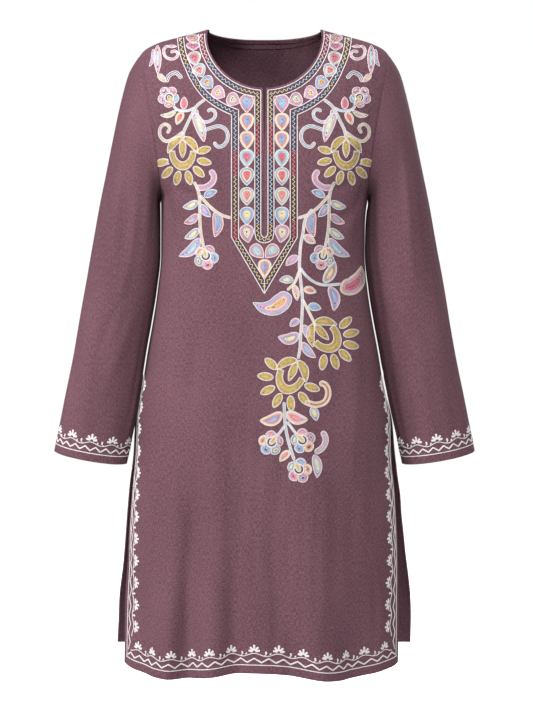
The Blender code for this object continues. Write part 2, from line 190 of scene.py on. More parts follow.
SECTIONS = (
    Section(-0.985, 0.2165, 0.2165, 0.1280, 0.1250, 2.30),
    Section(-0.880, 0.2120, 0.2120, 0.1265, 0.1245, 2.30),
    Section(-0.760, 0.2060, 0.2060, 0.1250, 0.1235, 2.35),
    Section(-0.660, 0.2010, 0.1980, 0.1235, 0.1225, 2.40),
    Section(-0.600, 0.1965, 0.1935, 0.1225, 0.1210, 2.40),
    Section(-0.566, 0.1924, 0.1890, 0.1215, 0.1195, 2.45),
    Section(-0.545, 0.1890, 0.1845, 0.1210, 0.1185, 2.45),
    Section(-0.489, 0.1805, 0.1752, 0.1195, 0.1145, 2.50),
    Section(-0.442, 0.1722, 0.1665, 0.1178, 0.1095, 2.55),
    Section(-0.395, 0.1648, 0.1590, 0.1162, 0.1045, 2.60),
    Section(-0.340, 0.1592, 0.1535, 0.1160, 0.1015, 2.70),
    Section(-0.295, 0.1592, 0.1545, 0.1180, 0.1025, 2.75),
    Section(-0.252, 0.1600, 0.1600, 0.1205, 0.1060, 2.80),
    Section(-0.235, 0.1660, 0.1660, 0.1212, 0.1070, 2.80),
    Section(-0.197, 0.1830, 0.1830, 0.1207, 0.1070, 2.80),
    Section(-0.142, 0.1990, 0.1990, 0.1160, 0.1030, 2.80),
    Section(-0.085, 0.2080, 0.2080, 0.1050, 0.0940, 2.80),
    Section(-0.034, 0.2150, 0.2150, 0.0930, 0.0840, 2.80),
    Section(0.020, 0.2200, 0.2200, 0.0820, 0.0750, 2.80),
)
SLIT_EDGES = (
    SlitEdge(-0.985, 0.2156, 0.2044, -0.0290, 79.0, 0.2313, 0.0410, 84.0),
    SlitEdge(-0.880, 0.2149, 0.2053, -0.0260, 80.0, 0.2285, 0.0370, 85.0),
    SlitEdge(-0.800, 0.2113, 0.2066, -0.0220, 82.0, 0.2202, 0.0310, 86.0),
    SlitEdge(-0.720, 0.2062, 0.2023, -0.0160, 85.0, 0.2119, 0.0240, 87.0),
    SlitEdge(-0.660, 0.2018, 0.1963, -0.0110, 87.0, 0.2043, 0.0160, 88.0),
    SlitEdge(-0.600, 0.1978, 0.1942, -0.0050, 89.0, 0.2000, 0.0070, 89.0),
    SlitEdge(-0.545, 0.1890, 0.1845, 0.0000, 90.0, 0.1867, 0.0000, 90.0),
)
ARMHOLE = (
    Armhole(ARMPIT_Z, 0.1600, 0.1600),
    Armhole(-0.235, 0.1600, 0.1608),
    Armhole(-0.197, 0.1638, 0.1662),
    Armhole(-0.142, 0.1718, 0.1755),
    Armhole(-0.085, 0.1828, 0.1850),
    Armhole(-0.058, 0.1888, 0.1895),
    Armhole(SHOULDER_TIP_Z, SHOULDER_TIP_X, SHOULDER_TIP_X),
)
SHOULDER_LINE = (
    Shoulder(0.0, VIRTUAL_NECK_TOP_Z),
    Shoulder(0.025, VIRTUAL_NECK_TOP_Z),
    Shoulder(0.055, 0.0260),
    Shoulder(NECK_POINT_X, NECK_POINT_Z),
    Shoulder(0.1332, -0.0030),
    Shoulder(0.1619, -0.0112),
    Shoulder(0.1826, -0.0205),
    Shoulder(SHOULDER_TIP_X, SHOULDER_TIP_Z),
)
HEMS = (
    Hem(-1.00, -0.9700, -0.9490),
    Hem(-0.75, -0.9770, -0.9540),
    Hem(-0.45, -0.9845, -0.9610),
    Hem(-0.02, -0.9730, -0.9580),
    Hem(0.35, -0.9850, -0.9620),
    Hem(0.75, -0.9765, -0.9540),
    Hem(1.00, -0.9700, -0.9490),
)
FOLDS = (
    Fold(Panel.FRONT, -0.118, -0.560, -0.152, 0.0060, 0.017),
    Fold(Panel.FRONT, -0.098, -0.600, -0.118, -0.0055, 0.015),
    Fold(Panel.FRONT, -0.070, -0.500, -0.080, 0.0050, 0.019),
    Fold(Panel.FRONT, -0.040, -0.620, -0.047, -0.0040, 0.016),
    Fold(Panel.FRONT, 0.070, -0.520, 0.086, 0.0060, 0.030),
    Fold(Panel.FRONT, 0.120, -0.600, 0.142, -0.0055, 0.018),
    Fold(Panel.BACK, -0.110, -0.560, -0.140, 0.0060, 0.022),
    Fold(Panel.BACK, -0.065, -0.500, -0.075, -0.0055, 0.019),
    Fold(Panel.BACK, -0.012, -0.540, -0.018, 0.0060, 0.024),
    Fold(Panel.BACK, 0.060, -0.480, 0.078, -0.0060, 0.020),
    Fold(Panel.BACK, 0.104, -0.580, 0.136, 0.0060, 0.021),
)
CREASES = {
    Panel.FRONT: (
        Crease(-0.161, -0.661, -0.178, -0.930, 0.002, 0.0026, 0.0045),
        Crease(0.164, -0.790, 0.178, -0.940, -0.002, 0.0018, 0.0045),
        Crease(-0.151, -0.238, -0.108, -0.312, 0.006, -0.0032, 0.0075),
        Crease(-0.148, -0.262, -0.122, -0.350, -0.004, 0.0026, 0.0080),
        Crease(-0.146, -0.226, -0.092, -0.262, 0.003, -0.0020, 0.0060),
        Crease(0.150, -0.236, 0.104, -0.300, -0.006, -0.0030, 0.0075),
        Crease(0.147, -0.258, 0.126, -0.345, 0.004, 0.0024, 0.0085),
        Crease(0.144, -0.222, 0.096, -0.250, -0.002, -0.0018, 0.0055),
        Crease(-0.074, -0.236, -0.050, -0.286, 0.002, 0.0016, 0.0045),
        Crease(0.058, -0.330, 0.078, -0.470, 0.003, 0.0022, 0.0120),
        Crease(-0.160, -0.092, -0.151, -0.214, 0.004, -0.0034, 0.0085),
        Crease(0.160, -0.096, 0.150, -0.206, -0.004, -0.0032, 0.0080),
        Crease(-0.128, -0.130, -0.118, -0.230, 0.004, 0.0018, 0.0110),
        Crease(0.130, -0.118, 0.120, -0.224, -0.004, 0.0018, 0.0110),
        Crease(-0.118, -0.430, -0.136, -0.640, 0.006, 0.0030, 0.0120),
        Crease(-0.092, -0.440, -0.104, -0.600, 0.004, -0.0024, 0.0100),
        Crease(0.118, -0.420, 0.134, -0.610, -0.005, 0.0030, 0.0130),
        Crease(0.040, -0.560, 0.034, -0.800, 0.004, -0.0022, 0.0130),
        Crease(-0.016, -0.660, -0.010, -0.940, -0.004, 0.0026, 0.0150),
        Crease(0.112, -0.640, 0.118, -0.940, 0.004, -0.0024, 0.0100),
        Crease(-0.060, -0.330, -0.100, -0.440, 0.004, 0.0018, 0.0110),
    ),
    Panel.BACK: (
        Crease(-0.150, -0.240, -0.098, -0.330, 0.006, -0.0032, 0.0085),
        Crease(-0.146, -0.268, -0.104, -0.390, -0.004, 0.0028, 0.0100),
        Crease(0.150, -0.236, 0.108, -0.318, -0.006, -0.0034, 0.0085),
        Crease(0.146, -0.264, 0.096, -0.372, 0.004, 0.0026, 0.0095),
        Crease(-0.150, -0.100, -0.138, -0.220, 0.006, -0.0034, 0.0100),
        Crease(0.150, -0.096, 0.140, -0.224, -0.006, -0.0034, 0.0100),
        Crease(-0.040, -0.070, -0.026, -0.190, 0.004, 0.0016, 0.0130),
        Crease(0.050, -0.080, 0.030, -0.210, -0.004, 0.0018, 0.0120),
        Crease(-0.060, -0.360, 0.014, -0.404, 0.006, 0.0022, 0.0100),
        Crease(0.082, -0.350, -0.004, -0.384, -0.005, -0.0022, 0.0090),
        Crease(-0.104, -0.420, -0.126, -0.640, 0.006, 0.0030, 0.0140),
        Crease(0.030, -0.470, 0.038, -0.760, 0.004, 0.0026, 0.0130),
        Crease(0.128, -0.430, 0.142, -0.660, -0.004, -0.0028, 0.0120),
        Crease(-0.168, -0.690, -0.180, -0.920, 0.002, 0.0024, 0.0060),
    ),
}
SLEEVE = (
    Ring(0.000, 0.1600, -0.2520, 0.1940, -0.0310, 0.0740, 0.0000),
    Ring(0.055, 0.1612, -0.2560, 0.2095, -0.0575, 0.0735, 0.0000),
    Ring(0.110, 0.1613, -0.2610, 0.2220, -0.1010, 0.0730, 0.0000),
    Ring(0.170, 0.1600, -0.2690, 0.2337, -0.1550, 0.0715, 0.0000),
    Ring(0.240, 0.1500, -0.2830, 0.2450, -0.2120, 0.0690, -0.0010),
    Ring(0.310, 0.1500, -0.3080, 0.2550, -0.2630, 0.0665, -0.0020),
    Ring(0.380, 0.1520, -0.3420, 0.2637, -0.3130, 0.0640, -0.0030),
    Ring(0.480, 0.1600, -0.3980, 0.2747, -0.3740, 0.0610, -0.0050),
    Ring(0.620, 0.1740, -0.4760, 0.2885, -0.4550, 0.0560, -0.0080),
    Ring(0.740, 0.1880, -0.5400, 0.2997, -0.5200, 0.0520, -0.0105),
    Ring(0.800, 0.1942, -0.5700, 0.3056, -0.5500, 0.0500, -0.0120),
    Ring(0.900, 0.2044, -0.6160, 0.3150, -0.5970, 0.0470, -0.0140),
    Ring(1.000, 0.2140, -0.6635, 0.3245, -0.6440, 0.0440, -0.0160),
)
SLEEVE_FOLDS = (
    SleeveFold(0.04, 0.46, 62.0, 44.0, 0.0040, 13.0),
    SleeveFold(0.10, 0.55, 100.0, 78.0, -0.0030, 15.0),
    SleeveFold(0.34, 0.94, 128.0, 112.0, 0.0030, 17.0),
    SleeveFold(0.10, 0.60, 288.0, 304.0, 0.0040, 15.0),
    SleeveFold(0.42, 0.95, 246.0, 258.0, -0.0030, 17.0),
)
SLEEVE_CREASES = {
    Side.LEFT: (
        SleeveFold(0.10, 0.52, 118.0, 96.0, 0.0026, 7.0),
        SleeveFold(0.16, 0.60, 140.0, 120.0, -0.0022, 8.0),
        SleeveFold(0.46, 0.72, 60.0, 110.0, 0.0022, 9.0),
        SleeveFold(0.52, 0.80, 46.0, 84.0, -0.0020, 8.0),
        SleeveFold(0.60, 0.98, 92.0, 84.0, 0.0018, 9.0),
        SleeveFold(0.14, 0.50, 236.0, 262.0, 0.0026, 9.0),
        SleeveFold(0.48, 0.76, 300.0, 250.0, 0.0024, 9.0),
        SleeveFold(0.30, 0.56, 196.0, 214.0, -0.0022, 9.0),
    ),
    Side.RIGHT: (
        SleeveFold(0.08, 0.48, 122.0, 104.0, 0.0024, 8.0),
        SleeveFold(0.20, 0.66, 74.0, 88.0, 0.0022, 8.0),
        SleeveFold(0.44, 0.74, 70.0, 116.0, -0.0020, 8.0),
        SleeveFold(0.50, 0.82, 52.0, 92.0, 0.0020, 9.0),
        SleeveFold(0.64, 0.98, 120.0, 100.0, 0.0018, 9.0),
        SleeveFold(0.12, 0.46, 240.0, 268.0, 0.0028, 9.0),
        SleeveFold(0.50, 0.80, 288.0, 244.0, 0.0022, 9.0),
        SleeveFold(0.26, 0.58, 206.0, 190.0, -0.0022, 9.0),
    ),
}


def through(rows: Sequence[NamedTuple], column: str, at: np.ndarray) -> np.ndarray:
    """Reads a column of a table on a smooth curve through its rows.

    Args:
        rows: The table, ordered by its first column.
        column: The name of the column to read.
        at: Where to read it, on the scale of the first column.

    Returns:
        The value at each place.
    """
    rows = sorted(rows)
    key = np.array([row[0] for row in rows])
    value = np.array([getattr(row, column) for row in rows])
    step = np.diff(key)
    rise = np.diff(value) / step
    before, after = rise[:-1], rise[1:]
    same_way = before * after > 0
    slope = np.concatenate((rise[:1], np.zeros(len(rise) - 1), rise[-1:]))
    slope[1:-1][same_way] = (2 * before * after)[same_way] / (before + after)[same_way]
    at = np.clip(np.asarray(at, float), key[0], key[-1])
    k = np.clip(np.searchsorted(key, at, side="right") - 1, 0, len(step) - 1)
    t = (at - key[k]) / step[k]
    rest = 1 - t
    ends = rest**2 * (1 + 2 * t) * value[k] + t**2 * (3 - 2 * t) * value[k + 1]
    return ends + t * rest * step[k] * (rest * slope[k] - t * slope[k + 1])


def unit(vectors: np.ndarray) -> np.ndarray:
    """The vectors with a length of 1."""
    return vectors / np.maximum(np.linalg.norm(vectors, axis=-1, keepdims=True), 1e-12)


def arc(points: np.ndarray, axis: int) -> np.ndarray:
    """The distance run along each line of a grid of points, from its start.

    Args:
        points: The grid of points.
        axis: The axis of the grid along which its lines run.

    Returns:
        The distance at each point.
    """
    steps = np.linalg.norm(np.diff(points, axis=axis), axis=-1)
    zero = np.zeros_like(np.take(steps, [0], axis=axis))
    return np.concatenate((zero, np.cumsum(steps, axis=axis)), axis=axis)


def near(distance: np.ndarray, width: float) -> np.ndarray:
    """A soft bump, 1 at no distance and nothing a few widths away."""
    return np.exp(-((distance / width) ** 2))


def grid_normals(points: np.ndarray, way: int) -> np.ndarray:
    """The normals of a grid of points, on its far side (1) or its near side (-1) along Y."""
    return unit(-way * np.cross(np.gradient(points, axis=1), np.gradient(points, axis=0)))


def shared_way(one: np.ndarray, other: np.ndarray) -> np.ndarray:
    """The way in which two sheets' thicknesses meet at a seam, from their normals there."""
    return (one + other) / (1 + np.sum(one * other, axis=-1, keepdims=True))


def set_inputs(node: bpy.types.Node, values: dict[str, object]) -> None:
    """Sets a node's inputs by their names."""
    for name, value in values.items():
        node.inputs[name].default_value = value


def add_object(name: str, data: bpy.types.ID) -> bpy.types.Object:
    """Makes an object, at the origin, and adds it to the scene.

    Args:
        name: Its name.
        data: Its mesh, light or camera.

    Returns:
        The object.
    """
    thing = bpy.data.objects.new(name, data)
    bpy.context.scene.collection.objects.link(thing)
    return thing


def unevenness(x: np.ndarray, z: np.ndarray, size: float, seed: int) -> np.ndarray:
    """A smooth, uneven surface between about -1 and 1, longer in z than in x.

    Args:
        x: Positions across.
        z: Positions up.
        size: The rough distance between two swellings across.
        seed: Which of the surfaces to give.

    Returns:
        The height at each position.
    """
    rng = np.random.default_rng(seed)
    height = np.zeros_like(x)
    for _ in range(7):
        turn, phase = rng.uniform(-0.9, 0.9), rng.uniform(0, 2 * math.pi)
        pitch = size * rng.uniform(0.7, 1.5)
        along = x * math.cos(turn) + z * 0.4 * math.sin(turn)
        height += np.cos(2 * math.pi * along / pitch + phase + 1.3 * np.sin(9 * z + phase))
    return height / 3.5


@dataclass(frozen=True)
class TunicForm:
    """The form on which the cloth hangs."""

    shoulder_roll: float = 0.100
    slit_settling: int = 4
    fold_foot_z: float = -0.980
    fold_onset: float = 1.3
    fold_top_width: float = 0.7
    fold_widening: float = 0.5
    fold_emphasis: float = 2.3

    def side_reach(self, x: np.ndarray, z: np.ndarray) -> np.ndarray:
        """How far the form reaches at height z, to the side on which x lies."""
        return np.where(x < 0, through(SECTIONS, "left", z), through(SECTIONS, "right", z))

    def depth(self, panel: Panel, x: np.ndarray, z: np.ndarray) -> np.ndarray:
        """The y of the form: square sections that roll over to the shoulder line.

        Args:
            panel: The panel.
            x: Positions across.
            z: Heights.

        Returns:
            The y at each position.
        """
        square = through(SECTIONS, "square", z)
        across = np.clip(np.abs(x) / self.side_reach(x, z), 0, 1)
        ridge = through(SHOULDER_LINE, "z", np.abs(x))
        rise = np.clip((z - ridge + self.shoulder_roll) / self.shoulder_roll, 0, 1)
        deep = through(SECTIONS, panel.column, z)
        return panel.value * deep * (1 - across**square) ** (1 / square) * np.sqrt(1 - rise**2)

    def top_edge(
        self, panel: Panel, across: np.ndarray, neck_share: float
    ) -> tuple[np.ndarray, np.ndarray]:
        """Finds the neckline and shoulder seams, seen from the front.

        Args:
            panel: The panel whose upper edge it is.
            across: Shares of the way across, from -1 to 1.
            neck_share: The share at which the neck ends and the shoulder begins.

        Returns:
            The x and the z of each point.
        """
        share = np.abs(across)
        on_neck = np.clip(share / neck_share, 0, 1)
        if panel is Panel.FRONT:
            angle = on_neck * NECK_END_ANGLE
            neck_x = NECK_HALF_WIDTH * np.sin(angle)
            neck_z = NECK_CENTRE_Z - NECK_DROP * np.cos(angle)
        else:
            angle = on_neck * math.pi / 2
            neck_x = NECK_POINT_X * np.sin(angle)
            neck_z = NECK_POINT_Z - (NECK_POINT_Z - 0.0030) * np.cos(angle)
        on_shoulder = np.clip((share - neck_share) / (1 - neck_share), 0, 1)
        shoulder_x = NECK_POINT_X + on_shoulder * (SHOULDER_TIP_X - NECK_POINT_X)
        x = np.where(share < neck_share, neck_x, shoulder_x)
        z = np.where(share < neck_share, neck_z, through(SHOULDER_LINE, "z", shoulder_x))
        return np.sign(across) * x, z

    def yoke(
        self, panel: Panel, across: np.ndarray, up: float, neck_share: float
    ) -> np.ndarray:
        """Finds a row between the armpits (up 0) and the neck and shoulder seams (up 1).

        Args:
            panel: The panel to which the row belongs.
            across: Shares of the way across, from -1 to 1.
            up: The share of the way up.
            neck_share: The share across at which the neck ends.

        Returns:
            The row's points.
        """
        eased = (1 - np.cos(math.pi * up)) / 2
        top_x, top_z = self.top_edge(panel, across, neck_share)
        z = ARMPIT_Z + eased * (top_z - ARMPIT_Z)
        side_z = ARMPIT_Z + eased * (SHOULDER_TIP_Z - ARMPIT_Z)
        side_x = through(ARMHOLE, panel.column, side_z)
        square = through(SECTIONS, "square", ARMPIT_Z)
        low = np.sign(across) * np.sin(np.abs(across) * math.pi / 2) ** (2 / square)
        x = side_x * ((1 - eased) * low + eased * top_x / SHOULDER_TIP_X)
        return np.stack((x, self.depth(panel, x, z), z), axis=-1)

    def waist(self, panel: Panel, across: np.ndarray, z: float) -> np.ndarray:
        """A row of points between the armpits and the tops of the side slits.

        Args:
            panel: The panel to which the row belongs.
            across: Shares of the way across, from -1 to 1.
            z: The row's height.

        Returns:
            The row's points.
        """
        square = through(SECTIONS, "square", z)
        low = np.sign(across) * np.sin(np.abs(across) * math.pi / 2) ** (2 / square)
        x = low * self.side_reach(across, z)
        return np.stack((x, self.depth(panel, x, z), z + 0 * x), axis=-1)

    def fold_depth(self, panel: Panel, x: np.ndarray, z: np.ndarray) -> np.ndarray:
        """How far the hanging folds stand out at x and z.

        Args:
            panel: The panel.
            x: Positions across.
            z: Heights.

        Returns:
            The height of the folds at each position.
        """
        out = np.zeros_like(x)
        for fold in FOLDS:
            if fold.panel is not panel:
                continue
            down = np.clip((fold.top_z - z) / (fold.top_z - self.fold_foot_z), 0, 1)
            middle = fold.top_x + down * (fold.hem_x - fold.top_x)
            width = fold.half_width * (self.fold_top_width + self.fold_widening * down)
            out += fold.height * down**self.fold_onset * np.exp(-(((x - middle) / width) ** 2))
        return out * self.fold_emphasis

    def skirt(self, panel: Panel, across: np.ndarray, down: np.ndarray) -> np.ndarray:
        """Finds a row between the tops of the side slits (down 0) and the hem (down 1).

        Args:
            panel: The panel to which the row belongs.
            across: Shares of the way across, from -1 to 1.
            down: The share of the way down, at each of them.

        Returns:
            The row's points.
        """
        hem = through(HEMS, panel.column, across)
        z = SLIT_TOP_Z + down * (hem - SLIT_TOP_Z)
        if panel is Panel.FRONT:
            left = through(SLIT_EDGES, "front_left", z)
            edge_x = np.where(across < 0, left, through(SLIT_EDGES, "front_right", z))
            edge_y = through(SLIT_EDGES, "front_y", z)
        else:
            seam_x = self.side_reach(across, SLIT_TOP_Z)
            settling = (1 - down) ** self.slit_settling
            opened = through(SLIT_EDGES, "back_x", z)
            edge_x = opened + settling * (seam_x - SLIT_EDGES[-1].back_x)
            edge_y = through(SLIT_EDGES, "back_y", z)
        turn = np.radians(through(SLIT_EDGES, f"{panel.column}_turn", z))
        power = 2 / through(SECTIONS, "square", z)
        angle = np.abs(across) * turn
        x = np.sign(across) * edge_x * (np.sin(angle) / np.sin(turn)) ** power
        middle_y = panel.value * through(SECTIONS, panel.column, z)
        spread = (1 - np.cos(angle) ** power) / (1 - np.cos(turn) ** power)
        y = middle_y + (edge_y - middle_y) * spread + panel.value * self.fold_depth(panel, x, z)
        return np.stack((x, y, z), axis=-1)


@dataclass(frozen=True)
class ClothFinish:
    """A matt cloth of slubby thread: plum, flecked lighter and darker along both threads."""

    name: str
    dark: tuple[float, float, float]
    light: tuple[float, float, float]
    roughness: float = 0.92
    sheen: float = 0.015
    sheen_roughness: float = 0.55
    specular: float = 0.04
    weft: tuple[float, float, float] = (230.0, 900.0, 3.0)
    warp: tuple[float, float, float] = (900.0, 210.0, 3.0)
    grain: tuple[float, float, float] = (640.0, 760.0, 3.0)
    grain_share: float = 0.8
    clouds: tuple[float, float, float] = (9.0, 6.0, 2.0)
    clouds_share: float = 0.35
    mixed_share: float = 0.336
    ramp_ends: tuple[float, float] = (0.46, 0.61)
    hem_puckers: tuple[float, float, float] = (320.0, 26.0, 1.0)
    slit_puckers: tuple[float, float, float] = (26.0, 320.0, 1.0)
    pucker_height: float = 0.0022
    weave: tuple[float, float, float] = (1500.0, 1500.0, 0.0)
    weave_height: float = 0.0004

    def make(self) -> bpy.types.Material:
        """Makes the material, which reads the cloth's own UV map and pucker attribute.

        Returns:
            The material.
        """
        material = bpy.data.materials.new(self.name)
        material.use_nodes = True
        nodes, links = material.node_tree.nodes, material.node_tree.links
        shader = nodes["Principled BSDF"]
        set_inputs(shader, {"Roughness": self.roughness, "Sheen Weight": self.sheen,
                            "Sheen Roughness": self.sheen_roughness,
                            "Specular IOR Level": self.specular})
        where = nodes.new("ShaderNodeUVMap")
        where.uv_map = "Cloth"

        def math_node(
            kind: str, first: bpy.types.NodeSocket | float, second: bpy.types.NodeSocket | float
        ) -> bpy.types.NodeSocket:
            """Works out a sum or product.

            Args:
                kind: ADD or MULTIPLY.
                first: A socket or a number.
                second: Another.

            Returns:
                The socket with the result.
            """
            node = nodes.new("ShaderNodeMath")
            node.operation = kind
            for socket, value in zip(node.inputs, (first, second)):
                if isinstance(value, bpy.types.NodeSocket):
                    links.new(value, socket)
                else:
                    socket.default_value = value
            return node.outputs[0]

        def flecks(across: float, along: float, detail: float) -> bpy.types.NodeSocket:
            """Makes noise that is drawn out along a thread.

            Args:
                across: How many flecks lie in a metre across.
                along: How many lie in a metre along.
                detail: How much finer noise it has.

            Returns:
                The socket with the noise.
            """
            stretch = nodes.new("ShaderNodeMapping")
            stretch.inputs["Scale"].default_value = (across, along, 1.0)
            links.new(where.outputs["UV"], stretch.inputs["Vector"])
            noise = nodes.new("ShaderNodeTexNoise")
            set_inputs(noise, {"Scale": 1.0, "Detail": detail})
            links.new(stretch.outputs["Vector"], noise.inputs["Vector"])
            return noise.outputs["Fac"]

        weft, warp = flecks(*self.weft), flecks(*self.warp)
        streaks = math_node("ADD", weft, warp)
        grain = math_node("MULTIPLY", flecks(*self.grain), self.grain_share)
        cloudy = math_node("MULTIPLY", flecks(*self.clouds), self.clouds_share)
        mixed = math_node("ADD", streaks, math_node("ADD", grain, cloudy))
        ramp = nodes.new("ShaderNodeValToRGB")
        for end, position, colour in zip(
            ramp.color_ramp.elements, self.ramp_ends, (self.dark, self.light)
        ):
            end.position = position
            end.color = (*colour, 1.0)
        links.new(math_node("MULTIPLY", mixed, self.mixed_share), ramp.inputs["Fac"])
        links.new(ramp.outputs["Color"], shader.inputs["Base Color"])

        pucker = nodes.new("ShaderNodeVertexColor")
        pucker.layer_name = "Pucker"
        amounts = nodes.new("ShaderNodeSeparateColor")
        links.new(pucker.outputs["Color"], amounts.inputs["Color"])
        hem = math_node("MULTIPLY", flecks(*self.hem_puckers), amounts.outputs["Red"])
        slit = math_node("MULTIPLY", flecks(*self.slit_puckers), amounts.outputs["Green"])
        coarse = nodes.new("ShaderNodeBump")
        set_inputs(coarse, {"Strength": 0.8, "Distance": self.pucker_height})
        links.new(math_node("ADD", hem, slit), coarse.inputs["Height"])
        fine = nodes.new("ShaderNodeBump")
        set_inputs(fine, {"Strength": 0.55, "Distance": self.weave_height})
        weave = math_node("ADD", streaks, flecks(*self.weave))
        links.new(weave, fine.inputs["Height"])
        links.new(coarse.outputs["Normal"], fine.inputs["Normal"])
        links.new(fine.outputs["Normal"], shader.inputs["Normal"])
        return material


@dataclass(frozen=True)
class ThreadFinish:
    """Soft twisted cotton thread, in the colour that each stitch carries."""

    name: str = "embroidery_thread"
    roughness: float = 0.62
    sheen: float = 0.25
    specular: float = 0.3
    twist_pitch: float = 900.0
    twist_height: float = 0.0003
    shade: tuple[float, float, float, float] = (0.3, 0.7, 0.82, 1.08)

    def make(self) -> bpy.types.Material:
        """Makes the material, which reads each stitch's colour.

        Returns:
            The material.
        """
        material = bpy.data.materials.new(self.name)
        material.use_nodes = True
        nodes, links = material.node_tree.nodes, material.node_tree.links
        shader = nodes["Principled BSDF"]
        set_inputs(shader, {"Roughness": self.roughness, "Sheen Weight": self.sheen,
                            "Specular IOR Level": self.specular})
        thread = nodes.new("ShaderNodeVertexColor")
        thread.layer_name = "Thread"
        place = nodes.new("ShaderNodeTexCoord")
        twist = nodes.new("ShaderNodeTexNoise")
        set_inputs(twist, {"Scale": self.twist_pitch, "Detail": 2.0})
        links.new(place.outputs["Object"], twist.inputs["Vector"])
        shade = nodes.new("ShaderNodeMapRange")
        ends = ("From Min", "From Max", "To Min", "To Max")
        set_inputs(shade, dict(zip(ends, self.shade)))
        links.new(twist.outputs["Fac"], shade.inputs["Value"])
        tint = nodes.new("ShaderNodeMix")
        tint.data_type = "RGBA"
        tint.blend_type = "MULTIPLY"
        tint.inputs[0].default_value = 1.0
        links.new(thread.outputs["Color"], tint.inputs[6])
        links.new(shade.outputs["Result"], tint.inputs[7])
        links.new(tint.outputs[2], shader.inputs["Base Color"])
        bump = nodes.new("ShaderNodeBump")
        set_inputs(bump, {"Strength": 0.5, "Distance": self.twist_height})
        links.new(twist.outputs["Fac"], bump.inputs["Height"])
        links.new(bump.outputs["Normal"], shader.inputs["Normal"])
        return material


PLUM = ClothFinish("plum_cloth", (0.086, 0.040, 0.052), (0.178, 0.088, 0.111))
# The facing's plum is a lighter copy of the same cloth: painted light that brightens the shaded
# inside of the back neck.
PLUM_FACING_PAINTED_LIGHT = ClothFinish("plum_facing_painted_light", (0.100, 0.048, 0.061), (0.205, 0.104, 0.130))
THREAD = ThreadFinish()


@dataclass
class Cloth:
    """A piece of thin cloth: a grid of points on its outside, and its thickness inwards."""

    name: str
    points: np.ndarray
    inward: np.ndarray
    finish: ClothFinish
    flat: np.ndarray
    pucker: np.ndarray
    slit_row: int | None = None
    slit_opening: np.ndarray | None = None

    def part_slit(
        self, bm: bmesh.types.BMesh, number: bmesh.types.BMLayerItem
    ) -> dict[bmesh.types.BMVert, int]:
        """Parts the grid along its middle column above the slit's lowest row.

        Args:
            bm: The mesh, still a flat grid.
            number: The layer that holds each vertex's number.

        Returns:
            The side on which each parted vertex lies.
        """
        columns = self.points.shape[1]
        middle = columns // 2

        def on_slit(vert: bmesh.types.BMVert) -> bool:
            """Whether a vertex lies on the slit."""
            row, column = divmod(vert[number], columns)
            return column == middle and row >= self.slit_row

        edges = [edge for edge in bm.edges if all(on_slit(v) for v in edge.verts)]
        bmesh.ops.split_edges(bm, edges=edges)
        sides = {}
        for vert in bm.verts:
            if on_slit(vert) and vert[number] // columns > self.slit_row:
                centre = sum(face.calc_center_median().x for face in vert.link_faces)
                sides[vert] = 1 if centre > 0 else -1
        return sides

    def build(self) -> bpy.types.Object:
        """Makes the piece and its material.

        Returns:
            The piece.
        """
        rows, columns = self.points.shape[:2]
        bm = bmesh.new()
        bmesh.ops.create_grid(bm, x_segments=columns - 1, y_segments=rows - 1, size=1.0)
        number = bm.verts.layers.int.new("number")
        pucker = bm.verts.layers.float_color.new("Pucker")
        uv = bm.loops.layers.uv.new("Cloth")
        for vert in bm.verts:
            row = round((vert.co.y + 1) / 2 * (rows - 1))
            column = round((vert.co.x + 1) / 2 * (columns - 1))
            vert[number] = row * columns + column
            vert[pucker] = (*self.pucker[row, column], 0.0, 1.0)
        flat = self.flat.reshape(-1, 2)
        for face in bm.faces:
            for loop in face.loops:
                loop[uv].uv = flat[loop.vert[number]]
        sides = {} if self.slit_row is None else self.part_slit(bm, number)
        places = self.points.reshape(-1, 3)
        for vert in bm.verts:
            vert.co = places[vert[number]]
        for vert, side in sides.items():
            vert.co.x += side * self.slit_opening[vert[number] // columns] / 2
        bmesh.ops.remove_doubles(bm, verts=bm.verts[:], dist=2e-6)
        moves = self.inward.reshape(-1, 3)
        thick = bmesh.ops.extrude_face_region(bm, geom=bm.faces[:])
        for vert in thick["geom"]:
            if isinstance(vert, bmesh.types.BMVert):
                vert.co = np.array(vert.co) + moves[vert[number]]
        bmesh.ops.recalc_face_normals(bm, faces=bm.faces[:])
        mesh = bpy.data.meshes.new(self.name)
        bm.to_mesh(mesh)
        bm.free()
        mesh.shade_smooth()
        mesh.set_sharp_from_angle(angle=math.radians(60.0))
        mesh.materials.append(self.finish.make())
        return add_object(self.name, mesh)


